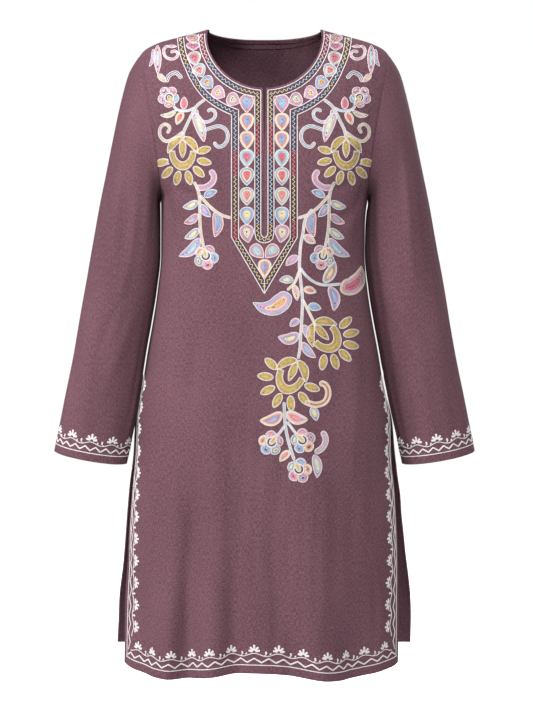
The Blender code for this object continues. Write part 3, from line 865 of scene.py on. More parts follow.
@dataclass
class Tunic:
    """The sewn cloth of the tunic: two panels, two sleeves and the facing of the back neck."""

    form: TunicForm = field(default_factory=TunicForm)
    wall: float = 0.0009
    turned_wall: float = 0.0017
    turn_up: float = 0.013
    slit_turn: float = 0.010
    loft: float = 0.0009
    seam_width: float = 0.0030
    neck_share_front: float = 8 / 14
    neck_share_back: float = 6 / 12
    neck_columns: int = 42
    shoulder_columns: int = 30
    skirt_rows: int = 76
    waist_rows: int = 50
    yoke_rows: int = 60
    sleeve_rows: int = 104
    slit_bottom_z: float = -0.193
    closed_slit_z: float = -0.318
    slit_top_gap: float = 0.0050
    sleeve_clearance: float = 0.0027
    head_length: float = 0.38
    sleeve_length: float = 0.62
    allowance: float = 0.009
    allowance_wall: float = 0.0014
    neck_turn: float = 0.010
    top_square: float = 2.8
    middle_columns: tuple[float, ...] = (0.0, 0.0006, 0.0024)
    edge_columns: tuple[float, ...] = (0.0360, 0.0250, 0.0145, 0.0045, 0.0)
    last_even_column: float = 0.952
    hem_rows: tuple[float, ...] = (0.0, 0.0012, 0.0040, 0.0085, 0.0124, 0.0136)
    pieces: dict[str, bpy.types.Object] = field(default_factory=dict)
    puckers: dict[Panel, np.ndarray] = field(default_factory=dict)
    grids: dict[Panel | Side, tuple[np.ndarray, np.ndarray]] = field(default_factory=dict)

    @property
    def seam_start(self) -> int:
        """The first row above the side slits, where the side seams begin."""
        return self.skirt_rows + len(self.hem_rows)

    def neck_share(self, panel: Panel) -> float:
        """The share across at which a panel's neck ends."""
        return self.neck_share_front if panel is Panel.FRONT else self.neck_share_back

    def columns(self, panel: Panel) -> np.ndarray:
        """Where a panel's columns lie, from -1 to 1, closer near the middle and the edges.

        Args:
            panel: The panel.

        Returns:
            The share of the way across of each column.
        """
        share, power = self.neck_share(panel), 2 / self.top_square
        end = math.sin(share * math.pi / 2) ** power
        reach = np.linspace(0, end, self.neck_columns + 1)
        inner = np.arcsin(reach ** (1 / power)) * 2 / math.pi
        outer = np.linspace(share, self.last_even_column, self.shoulder_columns)
        edge = 1 - np.array(self.edge_columns)
        half = np.concatenate((self.middle_columns, inner[2:], outer[1:], edge))
        half = np.unique(half)
        return np.concatenate((-half[:0:-1], half))

    def panel_points(self, panel: Panel) -> tuple[np.ndarray, np.ndarray]:
        """Finds a panel's outside, before its creases.

        Args:
            panel: The panel to work out.

        Returns:
            Its rows of points from the hem up, and where each column lies across.
        """
        across, share = self.columns(panel), self.neck_share(panel)
        length = SLIT_TOP_Z + 0.975
        hem = np.array((*self.hem_rows, 0.0170)) / length
        even = np.linspace(1 - 0.023 / length, 0, self.skirt_rows)[:-1]
        down = np.concatenate((1 - hem, even))
        rows = [self.form.skirt(panel, across, np.full_like(across, part)) for part in down]
        for k in range(self.waist_rows):
            z = SLIT_TOP_Z + k / self.waist_rows * (ARMPIT_Z - SLIT_TOP_Z)
            rows.append(self.form.waist(panel, across, z))
        for k in range(self.yoke_rows + 1):
            rows.append(self.form.yoke(panel, across, k / self.yoke_rows, share))
        return np.stack(rows), across

    def crease_height(self, panel: Panel, x: np.ndarray, z: np.ndarray) -> np.ndarray:
        """How far the listed creases stand out at x and z.

        Args:
            panel: The panel.
            x: Positions across.
            z: Heights.

        Returns:
            The height of the creases at each position.
        """
        out = np.zeros_like(x)
        for crease in CREASES[panel]:
            run = np.array((crease.x1 - crease.x0, crease.z1 - crease.z0))
            length = np.linalg.norm(run)
            run = run / length
            dx, dz = x - crease.x0, z - crease.z0
            t = np.clip((dx * run[0] + dz * run[1]) / length, 0, 1)
            beside = dx * run[1] - dz * run[0] - crease.bow * np.sin(math.pi * t) * 2
            beyond = dx * run[0] + dz * run[1] - t * length
            away = np.hypot(beside, beyond)
            strength = np.sin(math.pi * np.clip(t, 0.03, 0.97)) ** 0.7
            width = crease.width * (0.75 + 0.5 * t)
            profile = near(away, width) - 0.28 * near(away, 2.1 * width)
            out += crease.height * 1.3 * strength * profile
        return out

    def build_panel(self, panel: Panel) -> tuple[np.ndarray, np.ndarray, np.ndarray]:
        """Works out a panel with its creases, seams and thickness.

        Args:
            panel: The panel to work out.

        Returns:
            Its points, their normals and the depth of its cloth at each of them.
        """
        points, across = self.panel_points(panel)
        normals = grid_normals(points, panel.value)
        x, z = points[..., 0], points[..., 2]
        to_edge = arc(points, 1)
        to_edge = np.minimum(to_edge, to_edge[:, -1:] - to_edge)
        up = arc(points, 0)
        below_top = up[-1:] - up
        sewn = np.zeros(len(points))
        sewn[self.seam_start :] = 1.0
        shoulder = np.clip((np.abs(across) - self.neck_share(panel)) / 0.02, 0, 1)
        settle = np.clip((SLIT_TOP_Z + 0.03 - z) / 0.06, 0, 1)
        side_seam = np.maximum(1 - near(to_edge, self.seam_width), settle)
        top_seam = 1 - near(below_top, self.seam_width) * shoulder
        seams = side_seam * top_seam
        quiet = 1 - near(to_edge, 0.020) * (1 - settle)
        quiet *= 1 - near(below_top, 0.016)
        rough = 0.0011 * unevenness(x, z, 0.075, 5 - panel.value)
        rough += 0.00035 * unevenness(x, z, 0.024, 9 + panel.value)
        rough *= 1 + 0.9 * np.clip((-0.5 - z) / 0.4, 0, 1)
        height = self.loft * seams + quiet * (self.crease_height(panel, x, z) + rough)
        if panel is Panel.FRONT:
            lower = (z < self.slit_bottom_z + 0.004) & (z > self.closed_slit_z)
            height = height - 0.0010 * near(x, 0.0016) * lower
        height = np.where(sewn[:, None] > 0, height * np.where(to_edge < 1e-9, 0, 1), height)
        points = points + normals * height[..., None]
        normals = grid_normals(points, panel.value)
        wall = np.full(x.shape, self.wall)
        hem_turn = up <= self.turn_up - 0.0002
        slit_turn = (to_edge <= self.slit_turn) & (sewn[:, None] < 1)
        allowance = (to_edge <= self.allowance) & (sewn[:, None] > 0)
        allowance |= (below_top <= self.allowance) & (shoulder > 0.5)
        neck_turn = (below_top <= self.neck_turn) & (np.abs(across) < self.neck_share(panel))
        wall[hem_turn | slit_turn | neck_turn] = self.turned_wall
        wall[allowance & ~(hem_turn | slit_turn)] = self.allowance_wall
        beside_slit = near(to_edge - 0.004, 0.006) * (sewn[:, None] < 1)
        puckers = np.stack((near(up - 0.006, 0.008), beside_slit), -1)
        puckers[..., 0] += 0.5 * near(below_top - 0.004, 0.005) * (shoulder < 0.5)
        self.puckers[panel] = np.clip(puckers, 0, 1)
        return points, normals, wall

    def armhole_loop(self, column: Callable[[Panel], np.ndarray]) -> np.ndarray:
        """An armhole's values, up the front and down the back, from a panel's edge column.

        Args:
            column: Gives the values of a panel's edge column, from the hem up.

        Returns:
            The values from the armpit up the front, and down the back to the armpit.
        """
        up_front = column(Panel.FRONT)[-1 - self.yoke_rows :]
        up_back = column(Panel.BACK)[-1 - self.yoke_rows :]
        return np.concatenate((up_front, up_back[-2::-1]))

    def plain_ring(self, along: float, angle: np.ndarray, side: Side) -> np.ndarray:
        """An oval ring at a share of a sleeve's length, just clear of the body.

        Args:
            along: The share of the sleeve's length.
            angle: Angles round the ring from its inner side.
            side: The wearer's side on which the sleeve lies.

        Returns:
            The ring's points, drawn for the wearer's left.
        """
        inner = [through(SLEEVE, name, along) for name in ("inner_x", "inner_z")]
        outer = [through(SLEEVE, name, along) for name in ("outer_x", "outer_z")]
        clear = self.form.side_reach(side.value, inner[1])
        inner[0] = max(inner[0], clear + self.sleeve_clearance * min(1.0, along / 0.1))
        from_inner = (1 - np.cos(angle)) / 2
        x = inner[0] + from_inner * (outer[0] - inner[0])
        z = inner[1] + from_inner * (outer[1] - inner[1])
        y = through(SLEEVE, "mid_y", along) - through(SLEEVE, "half_depth", along) * np.sin(angle)
        return np.stack((x, y, z), axis=-1)

    def sleeve_fold_height(self, along: float, angle: np.ndarray, side: Side) -> np.ndarray:
        """How far a sleeve's folds and creases stand out on one ring.

        Args:
            along: The share of the sleeve's length.
            angle: Angles round the ring from its inner side.
            side: The wearer's side on which the sleeve lies.

        Returns:
            The height of the folds and creases at each angle.
        """
        out = np.zeros_like(angle)
        for fold in SLEEVE_FOLDS + SLEEVE_CREASES[side]:
            share = (along - fold.start) / (fold.end - fold.start)
            if 0 < share < 1:
                middle = fold.start_angle + share * (fold.end_angle - fold.start_angle)
                away = (np.degrees(angle) - middle + 180) % 360 - 180
                out += fold.height * math.sin(math.pi * share) * near(away, fold.width)
        return out

    def build_sleeve(self, side: Side, panels: dict) -> Cloth:
        """Works out a sleeve from its armhole to its cuff.

        Args:
            side: The side on which it lies.
            panels: The two panels' points, normals and walls.

        Returns:
            The sleeve, ready to be built.
        """
        column = -1 if side is Side.LEFT else 0
        loop = self.armhole_loop(lambda panel: panels[panel][0][:, column])
        body = self.armhole_loop(lambda panel: panels[panel][1][:, column])
        up = np.linspace(0, 1, self.yoke_rows + 1)
        angle = math.pi * np.concatenate((up, 2 - up[-2::-1]))
        to_left = np.array((side.value, 1, 1))
        loop[0, 1] = loop[-1, 1] = 0.0
        head = loop * to_left - self.plain_ring(0.0, angle, side)
        hem = np.array(self.hem_rows) / self.sleeve_length
        shares = np.linspace(0, 1 - 0.019 / self.sleeve_length, self.sleeve_rows) ** 1.15
        shares = np.concatenate((shares[:1], (0.0025, 0.0055), shares[1:], (1 - hem)[::-1]))
        shares = np.unique(shares)
        rings = []
        for along in shares:
            ring = self.plain_ring(along, angle, side)
            ring += head * max(0.0, 1 - along / self.head_length) ** 2
            middle = ring[:-1].mean(axis=0)
            round_it = 4.2 * np.sin(angle) * 0.05
            rough = 0.0007 * unevenness(round_it, -along * 0.6, 0.06, 31 * side.value + 50)
            settled = min(1.0, along / 0.06)
            inside = 1 - near((np.degrees(angle) + 180) % 360 - 180, 24.0) * (along < 0.72)
            out = self.sleeve_fold_height(along, angle, side) + rough * inside
            from_seam = along * self.sleeve_length / self.seam_width
            loft = self.loft * (1 - math.exp(-(from_seam**2))) * inside
            ring += unit(ring - middle) * (settled * out + loft)[:, None]
            near_cuff = max(0.0, (along - 0.80) / 0.20)
            ring[:, 2] -= 0.005 * near_cuff**2 * np.sin(angle)
            rings.append(ring * to_left)
        points = np.stack(rings)
        wrapped = np.concatenate((points[:, -2:-1], points, points[:, 1:2]), axis=1)
        round_ring = (wrapped[:, 2:] - wrapped[:, :-2]) / 2
        normals = unit(np.cross(round_ring, np.gradient(points, axis=0)))
        away = points - points[:, :-1].mean(axis=1, keepdims=True)
        normals *= np.sign(np.sum(normals * away, axis=-1, keepdims=True))
        alike = np.sum(body * normals[0], axis=-1, keepdims=True)
        shared = (body + normals[0]) / np.maximum(1 + alike, 0.5)
        weight = np.clip(alike / 0.5, 0, 1)
        body_out = body + weight * (shared - body)
        for panel, part in ((Panel.FRONT, body_out[: self.yoke_rows + 1]),
                            (Panel.BACK, body_out[: self.yoke_rows - 1 : -1])):
            panels[panel][1][-1 - self.yoke_rows :, column] = part
        inward = normals.copy()
        inward[0] = normals[0] + weight * (shared - normals[0])
        length = arc(points, 0)
        to_cuff = length[-1:] - length
        wall = np.where(to_cuff <= self.turn_up - 0.0002, self.turned_wall, self.wall)
        wall = np.where(length < self.allowance, self.allowance_wall, wall)
        flat = np.stack((np.broadcast_to(arc(points, 1), wall.shape), length), -1)
        pucker = near(to_cuff - 0.006, 0.008) + 0.4 * near(length - 0.003, 0.005)
        pucker = np.clip(np.stack((pucker, 0 * wall), -1), 0, 1)
        self.grids[side] = (points, normals)
        name = f"{side.name.lower()}_sleeve_cloth"
        return Cloth(name, points, -wall[..., None] * inward, PLUM, flat, pucker)

    def sew_panels(self, panels: dict) -> None:
        """Gives the panels' side and shoulder seams their shared directions.

        Args:
            panels: The panels' points, normals and walls. The normals are changed.
        """
        front, back = panels[Panel.FRONT], panels[Panel.BACK]
        for column in (0, -1):
            rows = slice(self.seam_start, -1)
            one, other = front[1][rows, column], back[1][rows, column]
            front[1][rows, column] = back[1][rows, column] = shared_way(one, other)
        front_shoulder = np.abs(self.columns(Panel.FRONT)) >= self.neck_share_front - 1e-6
        back_shoulder = np.abs(self.columns(Panel.BACK)) >= self.neck_share_back - 1e-6
        one, other = front[1][-1, front_shoulder], back[1][-1, back_shoulder]
        shared = shared_way(one, other)
        front[1][-1, front_shoulder] = back[1][-1, back_shoulder] = shared

    def open_neck_slit(self, points: np.ndarray) -> tuple[int, np.ndarray]:
        """Parts the front's columns round the neck slit.

        Args:
            points: The front's points, which are moved.

        Returns:
            The slit's lowest row, and how wide it is open at each row.
        """
        middle = points.shape[1] // 2
        heights = points[:, middle, 2]
        row = int(np.argmax(heights > self.slit_bottom_z - 1e-6)) - 1
        share = np.clip((heights - heights[row]) / (heights[-1] - heights[row]), 0, 1)
        opening = self.slit_top_gap * share**0.8
        x = points[..., 0]
        beside = np.clip(1 - np.abs(x) / 0.025, 0, 1)
        points[..., 0] = x + np.sign(x) * beside * opening[:, None] / 2
        return row, opening

    def build_facing(self, back: tuple[np.ndarray, np.ndarray, np.ndarray]) -> Cloth:
        """Works out the back neck facing, on the inside of the back's uppermost cloth.

        Args:
            back: The back's points, normals and walls.

        Returns:
            The facing, ready to be built.
        """
        across = self.columns(Panel.BACK)
        columns = np.flatnonzero(np.abs(across) <= self.neck_share_back + 1e-6)
        points, normals = back[0][:, columns], back[1][:, columns]
        run = arc(points, 0)
        from_top = run[-1:] - run
        rows = np.linspace(0.015, 0.0004, 23)
        walls = back[2][:, columns]
        strip, ways, deep = [], [], []
        for depth in rows:
            ends = np.clip((self.neck_share_back - np.abs(across[columns])) / 0.06, 0.35, 1.0)
            every_row = np.arange(len(points))
            place = [np.interp(-depth * end, -from_top[:, k], every_row)
                     for k, end in enumerate(ends)]
            low = np.clip(np.floor(place).astype(int), 0, len(points) - 2)
            rest = (np.array(place) - low)[:, None]
            index = np.arange(len(columns))
            strip.append(points[low, index] * (1 - rest) + points[low + 1, index] * rest)
            ways.append(unit(normals[low, index] * (1 - rest) + normals[low + 1, index] * rest))
            deep.append(walls[low, index][:, None])
        strip, ways, deep = np.stack(strip), np.stack(ways), np.stack(deep)
        groove = near(rows - 0.0075, 0.0010)[:, None, None] * 0.0006
        inside = strip - ways * (deep + 0.0002 - groove)
        flat = np.stack((arc(strip, 1), arc(strip, 0)), -1)
        pucker = np.full(strip.shape[:2] + (2,), 0.3)
        # The facing takes the lighter plum copy: painted light inside the back neck.
        return Cloth("back_neck_facing_cloth", inside, -0.0005 * ways, PLUM_FACING_PAINTED_LIGHT, flat, pucker)

    def build(self) -> None:
        """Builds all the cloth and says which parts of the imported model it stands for."""
        panels = {panel: self.build_panel(panel) for panel in Panel}
        self.sew_panels(panels)
        sleeves = [self.build_sleeve(side, panels) for side in Side]
        for panel, (points, normals, wall) in panels.items():
            middle = [points.shape[1] // 2]
            flat_u = arc(points, 1)
            flat_u = flat_u - flat_u[:, middle]
            flat_v = np.broadcast_to(arc(points, 0)[:, middle], wall.shape)
            flat = np.stack((flat_u, flat_v), -1)
            slit_row, opening = None, None
            if panel is Panel.FRONT:
                slit_row, opening = self.open_neck_slit(points)
            name = f"{panel.column}_panel"
            self.grids[panel] = (points, normals)
            cloth = Cloth(f"{name}_cloth", points, -wall[..., None] * normals, PLUM, flat,
                          self.puckers[panel], slit_row, opening)
            self.finish_piece(cloth, name)
        for cloth, side in zip(sleeves, Side):
            node = f"{side.name.lower()}_sleeve"
            self.finish_piece(cloth, node)
        facing = self.build_facing(panels[Panel.BACK])
        self.finish_piece(facing, "back_neck_facing")

    def finish_piece(
        self, cloth: Cloth, node: str
    ) -> None:
        """Builds a piece of cloth and says what it is.

        Args:
            cloth: The piece.
            node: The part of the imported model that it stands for.
        """
        piece = cloth.build()
        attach(piece, "root")
        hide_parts(node)
        self.pieces[node] = piece
        points = cloth.points
        cells = np.cross(np.diff(points, axis=0)[:, :-1], np.diff(points, axis=1)[:-1])
        log.info("%s: %d faces, %.3f square metres of cloth, %.3f x %.3f m", piece.name,
                 len(piece.data.polygons), np.linalg.norm(cells, axis=-1).sum(),
                 arc(points, 1).max(), arc(points, 0).max())


class Yarn(Enum):
    """The embroidery's threads."""

    WHITE = (212, 206, 206)
    IVORY = (205, 197, 191)
    CREAM = (212, 198, 172)
    YELLOW = (214, 195, 142)
    ORANGE = (212, 154, 114)
    CORAL = (202, 120, 122)
    ROSE = (192, 98, 118)
    PINK = (208, 152, 168)
    MAGENTA = (176, 112, 152)
    LILAC = (180, 158, 194)
    SKY = (158, 179, 200)
    ICE = (186, 198, 210)
    BLUSH = (212, 184, 191)
    SLATE = (126, 144, 178)
    MINT = (172, 200, 184)
    GOLD = (190, 166, 100)
    OCHRE = (172, 145, 80)
    NAVY = (46, 40, 60)
    BROWN = (54, 38, 36)
    MAROON = (104, 32, 48)

    @property
    def colour(self) -> np.ndarray:
        """The thread's colour, linear."""
        share = np.array(self.value) / 255.0
        return np.where(share <= 0.04045, share / 12.92, ((share + 0.055) / 1.055) ** 2.4)


SHOT_WITH = {
    Yarn.SKY: Yarn.SLATE, Yarn.SLATE: Yarn.SKY, Yarn.PINK: Yarn.LILAC, Yarn.CORAL: Yarn.PINK,
    Yarn.ROSE: Yarn.CORAL, Yarn.LILAC: Yarn.PINK, Yarn.YELLOW: Yarn.CREAM, Yarn.CREAM: Yarn.YELLOW,
    Yarn.MINT: Yarn.SKY, Yarn.ORANGE: Yarn.YELLOW, Yarn.GOLD: Yarn.OCHRE, Yarn.MAGENTA: Yarn.ROSE,
    Yarn.NAVY: Yarn.BROWN, Yarn.BROWN: Yarn.NAVY, Yarn.MAROON: Yarn.BROWN, Yarn.IVORY: Yarn.SKY,
    Yarn.ICE: Yarn.SKY, Yarn.BLUSH: Yarn.PINK, Yarn.OCHRE: Yarn.GOLD,
}


@dataclass
class Needlework:
    """Rows of stitches that are sewn into one piece."""

    name: str
    stitch: float = 0.0024
    golden_turn: float = 2.399
    shot_pitch: float = 0.031
    profile: tuple[float, ...] = (-1.0, -0.55, 0.55, 1.0)
    crown: tuple[float, ...] = (0.0, 1.0, 1.0, 0.0)
    swell: tuple[float, ...] = (0.80, 1.0, 0.93)
    rise: tuple[float, ...] = (0.58, 1.0, 0.82)
    sink: float = 0.0002
    rows: list[np.ndarray] = field(default_factory=list)
    colours: list[np.ndarray] = field(default_factory=list)

    def sew(
        self,
        points: np.ndarray,
        normals: np.ndarray,
        yarns: Sequence[Yarn],
        half_width: float = 0.00078,
        height: float = 0.0009,
        closed: bool = False,
        change: float = 0.055,
    ) -> None:
        """Sews one row of stitches along a line on the cloth.

        Args:
            points: The line.
            normals: The cloth's normal at each of its points.
            yarns: The thread, or the threads that follow one another along the row.
            half_width: Half the row's width.
            height: How high it stands.
            closed: Whether its ends meet.
            change: The length of each thread of several.
        """
        run = arc(points[None], 1)[0]
        if run[-1] < 0.0015:
            return
        count = 3 * max(1, round(run[-1] / self.stitch)) + 1
        at = np.linspace(0, run[-1], count)
        line = np.stack([np.interp(at, run, points[:, k]) for k in range(3)], -1)
        up = unit(np.stack([np.interp(at, run, normals[:, k]) for k in range(3)], -1))
        if count > 6:
            up[1:-1] = unit(up[:-2] + up[1:-1] + up[2:])
        ahead = np.gradient(line, axis=0)
        if closed:
            ahead[0] = ahead[-1] = line[1] - line[-2]
        beside = unit(np.cross(unit(ahead), up))
        beat = np.arange(count) % 3
        wide = half_width * np.array(self.swell)[beat]
        high = height * np.array(self.rise)[beat]
        if not closed:
            wide[[0, -1]] *= 0.45
            high[[0, -1]] *= 0.45
        across = wide[:, None, None] * np.array(self.profile)[None, :, None] * beside[:, None]
        lift = (high[:, None, None] * np.array(self.crown)[None, :, None] - self.sink) * up[:, None]
        self.rows.append(line[:, None] + across + lift)
        phase = (len(self.rows) * self.golden_turn) % (2 * math.pi)
        own = np.stack([yarn.colour for yarn in yarns])
        which = ((at + phase * change / 3) // change).astype(int) % len(yarns)
        main = own[which]
        shot = np.stack([SHOT_WITH.get(yarn, yarn).colour for yarn in yarns])[which]
        share = 0.28 + 0.28 * np.sin(at * 2 * math.pi / self.shot_pitch + phase)
        gold = yarns[0] in (Yarn.GOLD, Yarn.OCHRE)
        flecked = (np.sin(np.arange(count) * 1.7 + phase) > 0.985) & gold
        colour = main * (1 - share[:, None]) + shot * share[:, None]
        colour = np.where(flecked[:, None], 0.45 * colour + 0.55 * Yarn.BROWN.colour, colour)
        self.colours.append(np.repeat(colour, 4, axis=0))

    def build(self) -> bpy.types.Object:
        """Makes one piece of all the rows, cut from one long tape.

        Returns:
            The piece.
        """
        ends = np.cumsum([len(row) for row in self.rows])
        total = int(ends[-1])
        bm = bmesh.new()
        bmesh.ops.create_grid(bm, x_segments=3, y_segments=total - 1, size=1.0)
        bm.faces.ensure_lookup_table()
        bridges = [bm.faces[3 * (end - 1) + k] for end in ends[:-1] for k in range(3)]
        bmesh.ops.delete(bm, geom=bridges, context="FACES_ONLY")
        mesh = bpy.data.meshes.new(self.name)
        bm.to_mesh(mesh)
        bm.free()
        mesh.vertices.foreach_set("co", np.concatenate(self.rows).reshape(-1).astype(np.float32))
        colour = np.concatenate(self.colours)
        layer = mesh.color_attributes.new("Thread", "FLOAT_COLOR", "POINT")
        opaque = np.c_[colour, np.ones(len(colour))]
        layer.data.foreach_set("color", opaque.reshape(-1).astype(np.float32))
        mesh.shade_smooth()
        mesh.materials.append(bpy.data.materials.get(THREAD.name) or THREAD.make())
        mesh.update()
        piece = add_object(self.name, mesh)
        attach(piece, "root")
        log.info("%s: %d faces, %.1f m of thread", self.name, len(mesh.polygons),
                 total / 3 * self.stitch)
        return piece


@dataclass
class Chart:
    """The chart of the front, in squares from the middle and down from the shoulder line."""

    cloth: BVHTree

    @classmethod
    def of(cls, piece: bpy.types.Object) -> Chart:
        """The chart laid on a piece of cloth.

        Args:
            piece: The piece of cloth.

        Returns:
            The chart.
        """
        mesh = piece.data
        corners = [vert.co for vert in mesh.vertices]
        return cls(BVHTree.FromPolygons(corners, [tuple(face.vertices) for face in mesh.polygons]))

    def lay(self, drawn: np.ndarray, mirror: int) -> tuple[np.ndarray, np.ndarray]:
        """Lays a drawn line on the cloth, as it is seen from the front.

        Args:
            drawn: The line's columns and rows on the chart.
            mirror: 1 as drawn, -1 for the other side.

        Returns:
            The points on the cloth and its normals there.
        """
        places, ways = [], []
        for column, row in drawn:
            target = Vector((mirror * column * CHART_SQUARE, CHART_Y, -row * CHART_SQUARE))
            way = (target - EYE).normalized()
            hit = self.cloth.ray_cast(EYE, way)
            if hit[0] is None or hit[0].y > 0.02:
                hit = self.cloth.find_nearest(target)
            normal = hit[1] if hit[1].dot(way) < 0 else -hit[1]
            places.append(hit[0])
            ways.append(normal)
        return np.array(places), np.array(ways)

    def settle(self, points: np.ndarray) -> tuple[np.ndarray, np.ndarray]:
        """The nearest points of the cloth's outside to some points, and its normals."""
        hits = [self.cloth.find_nearest(Vector(point)) for point in points]
        return np.array([hit[0] for hit in hits]), np.array([hit[1] for hit in hits])


def smooth_line(knots: Sequence[tuple[float, float]], spacing: float = 0.8) -> np.ndarray:
    """Draws a smooth line through some knots.

    Args:
        knots: The places that it passes through.
        spacing: The distance between its points.

    Returns:
        Its points, evenly spaced.
    """
    knots = np.array(knots, float)
    if len(knots) > 2:
        ends = np.concatenate(([2 * knots[0] - knots[1]], knots, [2 * knots[-1] - knots[-2]]))
        t = np.linspace(0, 1, 12, endpoint=False)[:, None]
        parts = []
        for a, b, c, d in zip(ends, ends[1:], ends[2:], ends[3:]):
            parts.append(0.5 * (2 * b + (c - a) * t + (2 * a - 5 * b + 4 * c - d) * t**2
                                + (3 * b - a - 3 * c + d) * t**3))
        knots = np.concatenate(parts + [knots[-1:]])
    return evenly(knots, spacing)


def within(points: np.ndarray, edge: np.ndarray) -> np.ndarray:
    """Whether each point lies inside a closed edge.

    Args:
        points: The points.
        edge: The edge's corners.

    Returns:
        True for each point that lies inside.
    """
    a, b = edge, np.roll(edge, -1, 0)
    x, y = points[:, None, 0], points[:, None, 1]
    spans = (a[None, :, 1] > y) != (b[None, :, 1] > y)
    rise = np.where(a[:, 1] == b[:, 1], 1e-9, b[:, 1] - a[:, 1])
    crossing = a[:, 0] + (y - a[:, 1]) / rise * (b[:, 0] - a[:, 0])
    return np.sum(spans & (x < crossing), axis=1) % 2 == 1


def closed_line(knots: Sequence[tuple[float, float]], spacing: float) -> np.ndarray:
    """Draws a smooth closed line through some knots; a knot given twice is a sharp corner.

    Args:
        knots: The places that it passes through.
        spacing: The distance between its points.

    Returns:
        Its points, evenly spaced, with the first not given again at the end.
    """
    knots = np.array(knots, float)
    looped = np.concatenate((knots[-2:], knots, knots[:3]))
    line = smooth_line(looped, spacing / 4)
    start = np.argmin(np.linalg.norm(line[: len(line) // 3] - knots[0], axis=1))
    stop = len(line) // 2 + np.argmin(np.linalg.norm(line[len(line) // 2 :] - knots[0], axis=1))
    return evenly(line[start : stop + 1], spacing)[:-1]


def evenly(points: np.ndarray, spacing: float) -> np.ndarray:
    """The same line with its points evenly spaced.

    Args:
        points: The line.
        spacing: The distance between its new points.

    Returns:
        The new points.
    """
    run = arc(points[None], 1)[0]
    at = np.linspace(0, run[-1], max(2, round(run[-1] / spacing) + 1))
    return np.stack([np.interp(at, run, points[:, k]) for k in range(points.shape[1])], -1)


class Shape(Enum):
    """How a filled motif swells along its middle line."""

    LEAF = (0.60, 0.78)
    DROP = (0.48, 0.86)
    PETAL = (0.54, 0.60)
    COMMA = (0.42, 0.95)
    BAND = (0.0, 0.0)


@dataclass(frozen=True)
class Motif:
    """A filled shape round a middle line: white outside, then rows of thread to the middle.

    Its edge swells along the middle line, unless an edge is given too.
    """

    spine: Sequence[tuple[float, float]]
    width: float
    yarns: tuple[Yarn, ...]
    shape: Shape = Shape.LEAF
    edge: Sequence[tuple[float, float]] = ()
    lift: float = 0.0
    core: float = 1.5
    outline: float = 0.52
    first_row: float = 1.70
    row: float = 1.40

    def swelling(self, share: np.ndarray, length: float) -> np.ndarray:
        """Half the motif's width at shares of its length.

        Args:
            share: Shares of its length.
            length: Its length.

        Returns:
            Half its width at each share.
        """
        if self.shape is Shape.BAND:
            cap = self.width / 2 / length
            end = np.clip(np.minimum(share, 1 - share) / cap, 0, 1)
            return self.width / 2 * np.sqrt(1 - (1 - end) ** 2)
        rise, fall = self.shape.value
        full = (rise / (rise + fall)) ** rise * (fall / (rise + fall)) ** fall
        return self.width / 2 * share**rise * (1 - share) ** fall / full

    def draw(self) -> tuple[np.ndarray, np.ndarray]:
        """The motif's middle line and its closed edge on the chart.

        Returns:
            The points of the line and of the edge.
        """
        line = smooth_line(self.spine, 0.5)
        if len(self.edge):
            return line, closed_line(self.edge, 0.6)
        run = arc(line[None], 1)[0]
        share = (1 - np.cos(np.linspace(0, math.pi, 34))) / 2
        at = share * run[-1]
        line = np.stack([np.interp(at, run, line[:, k]) for k in range(2)], -1)
        ahead = unit(np.gradient(line, axis=0))
        beside = np.stack((ahead[:, 1], -ahead[:, 0]), -1)
        half = self.swelling(share, run[-1])[:, None]
        edge = np.concatenate((line + beside * half, (line - beside * half)[-2:0:-1]))
        return line, evenly(np.concatenate((edge, edge[:1])), 0.6)[:-1]

    def stitch(self, chart: Chart, work: Needlework, mirror: int) -> None:
        """Sews the motif.

        Args:
            chart: The chart that it is drawn on.
            work: The needlework that it belongs to.
            mirror: 1 as drawn, -1 for the other side.
        """
        line, edge = self.draw()
        tangent = unit(np.roll(edge, -1, 0) - np.roll(edge, 1, 0))
        inwards = np.stack((-tangent[:, 1], tangent[:, 0]), -1)
        area = np.sum(edge[:, 0] * np.roll(edge[:, 1], -1) - np.roll(edge[:, 0], -1) * edge[:, 1])
        inwards *= math.copysign(1, area)

        def ring(depth: float) -> np.ndarray:
            """The closed line at a depth inside the edge, as far as there is room for it.

            Args:
                depth: The depth.

            Returns:
                The line's points, with the first given again at the end.
            """
            moved = edge + inwards * depth
            gap = np.linalg.norm(moved[:, None] - edge[None], axis=-1).min(axis=1)
            kept = moved[(gap > depth - 0.14) & within(moved, edge)]
            return np.concatenate((kept, kept[:1]))

        work.sew(*chart.lay(ring(self.outline), mirror), (Yarn.WHITE,), 0.00078,
                 0.0009 + self.lift, closed=True)
        half = np.linalg.norm(line[:, None] - edge[None], axis=-1).min(axis=1)
        reached, number, depth = self.outline + 0.45, 0, self.first_row
        while half.max() - depth > 0.55:
            inner = ring(depth)
            if len(inner) < 6 or arc(inner[None], 1)[0, -1] < 3.0:
                break
            yarn = self.yarns[min(number, len(self.yarns) - 1)]
            work.sew(*chart.lay(inner, mirror), (yarn,), 0.00124, 0.0007 + self.lift, closed=True)
            reached, number, depth = depth + 0.65, number + 1, depth + self.row
        half = np.where(within(line, edge), half, 0)
        open_part = np.flatnonzero(half - reached > 0.06)
        if len(open_part) > 2:
            middle = line[open_part[0] : open_part[-1] + 1]
            yarn = self.yarns[min(number, len(self.yarns) - 1)]
            wide = min(self.core, (half - reached).max() + 0.50) * CHART_SQUARE
            if self.shape is Shape.BAND:
                wide = min(wide, 0.75 * CHART_SQUARE)
            work.sew(*chart.lay(evenly(middle, 0.8), mirror), (yarn,), wide, 0.00065 + self.lift)


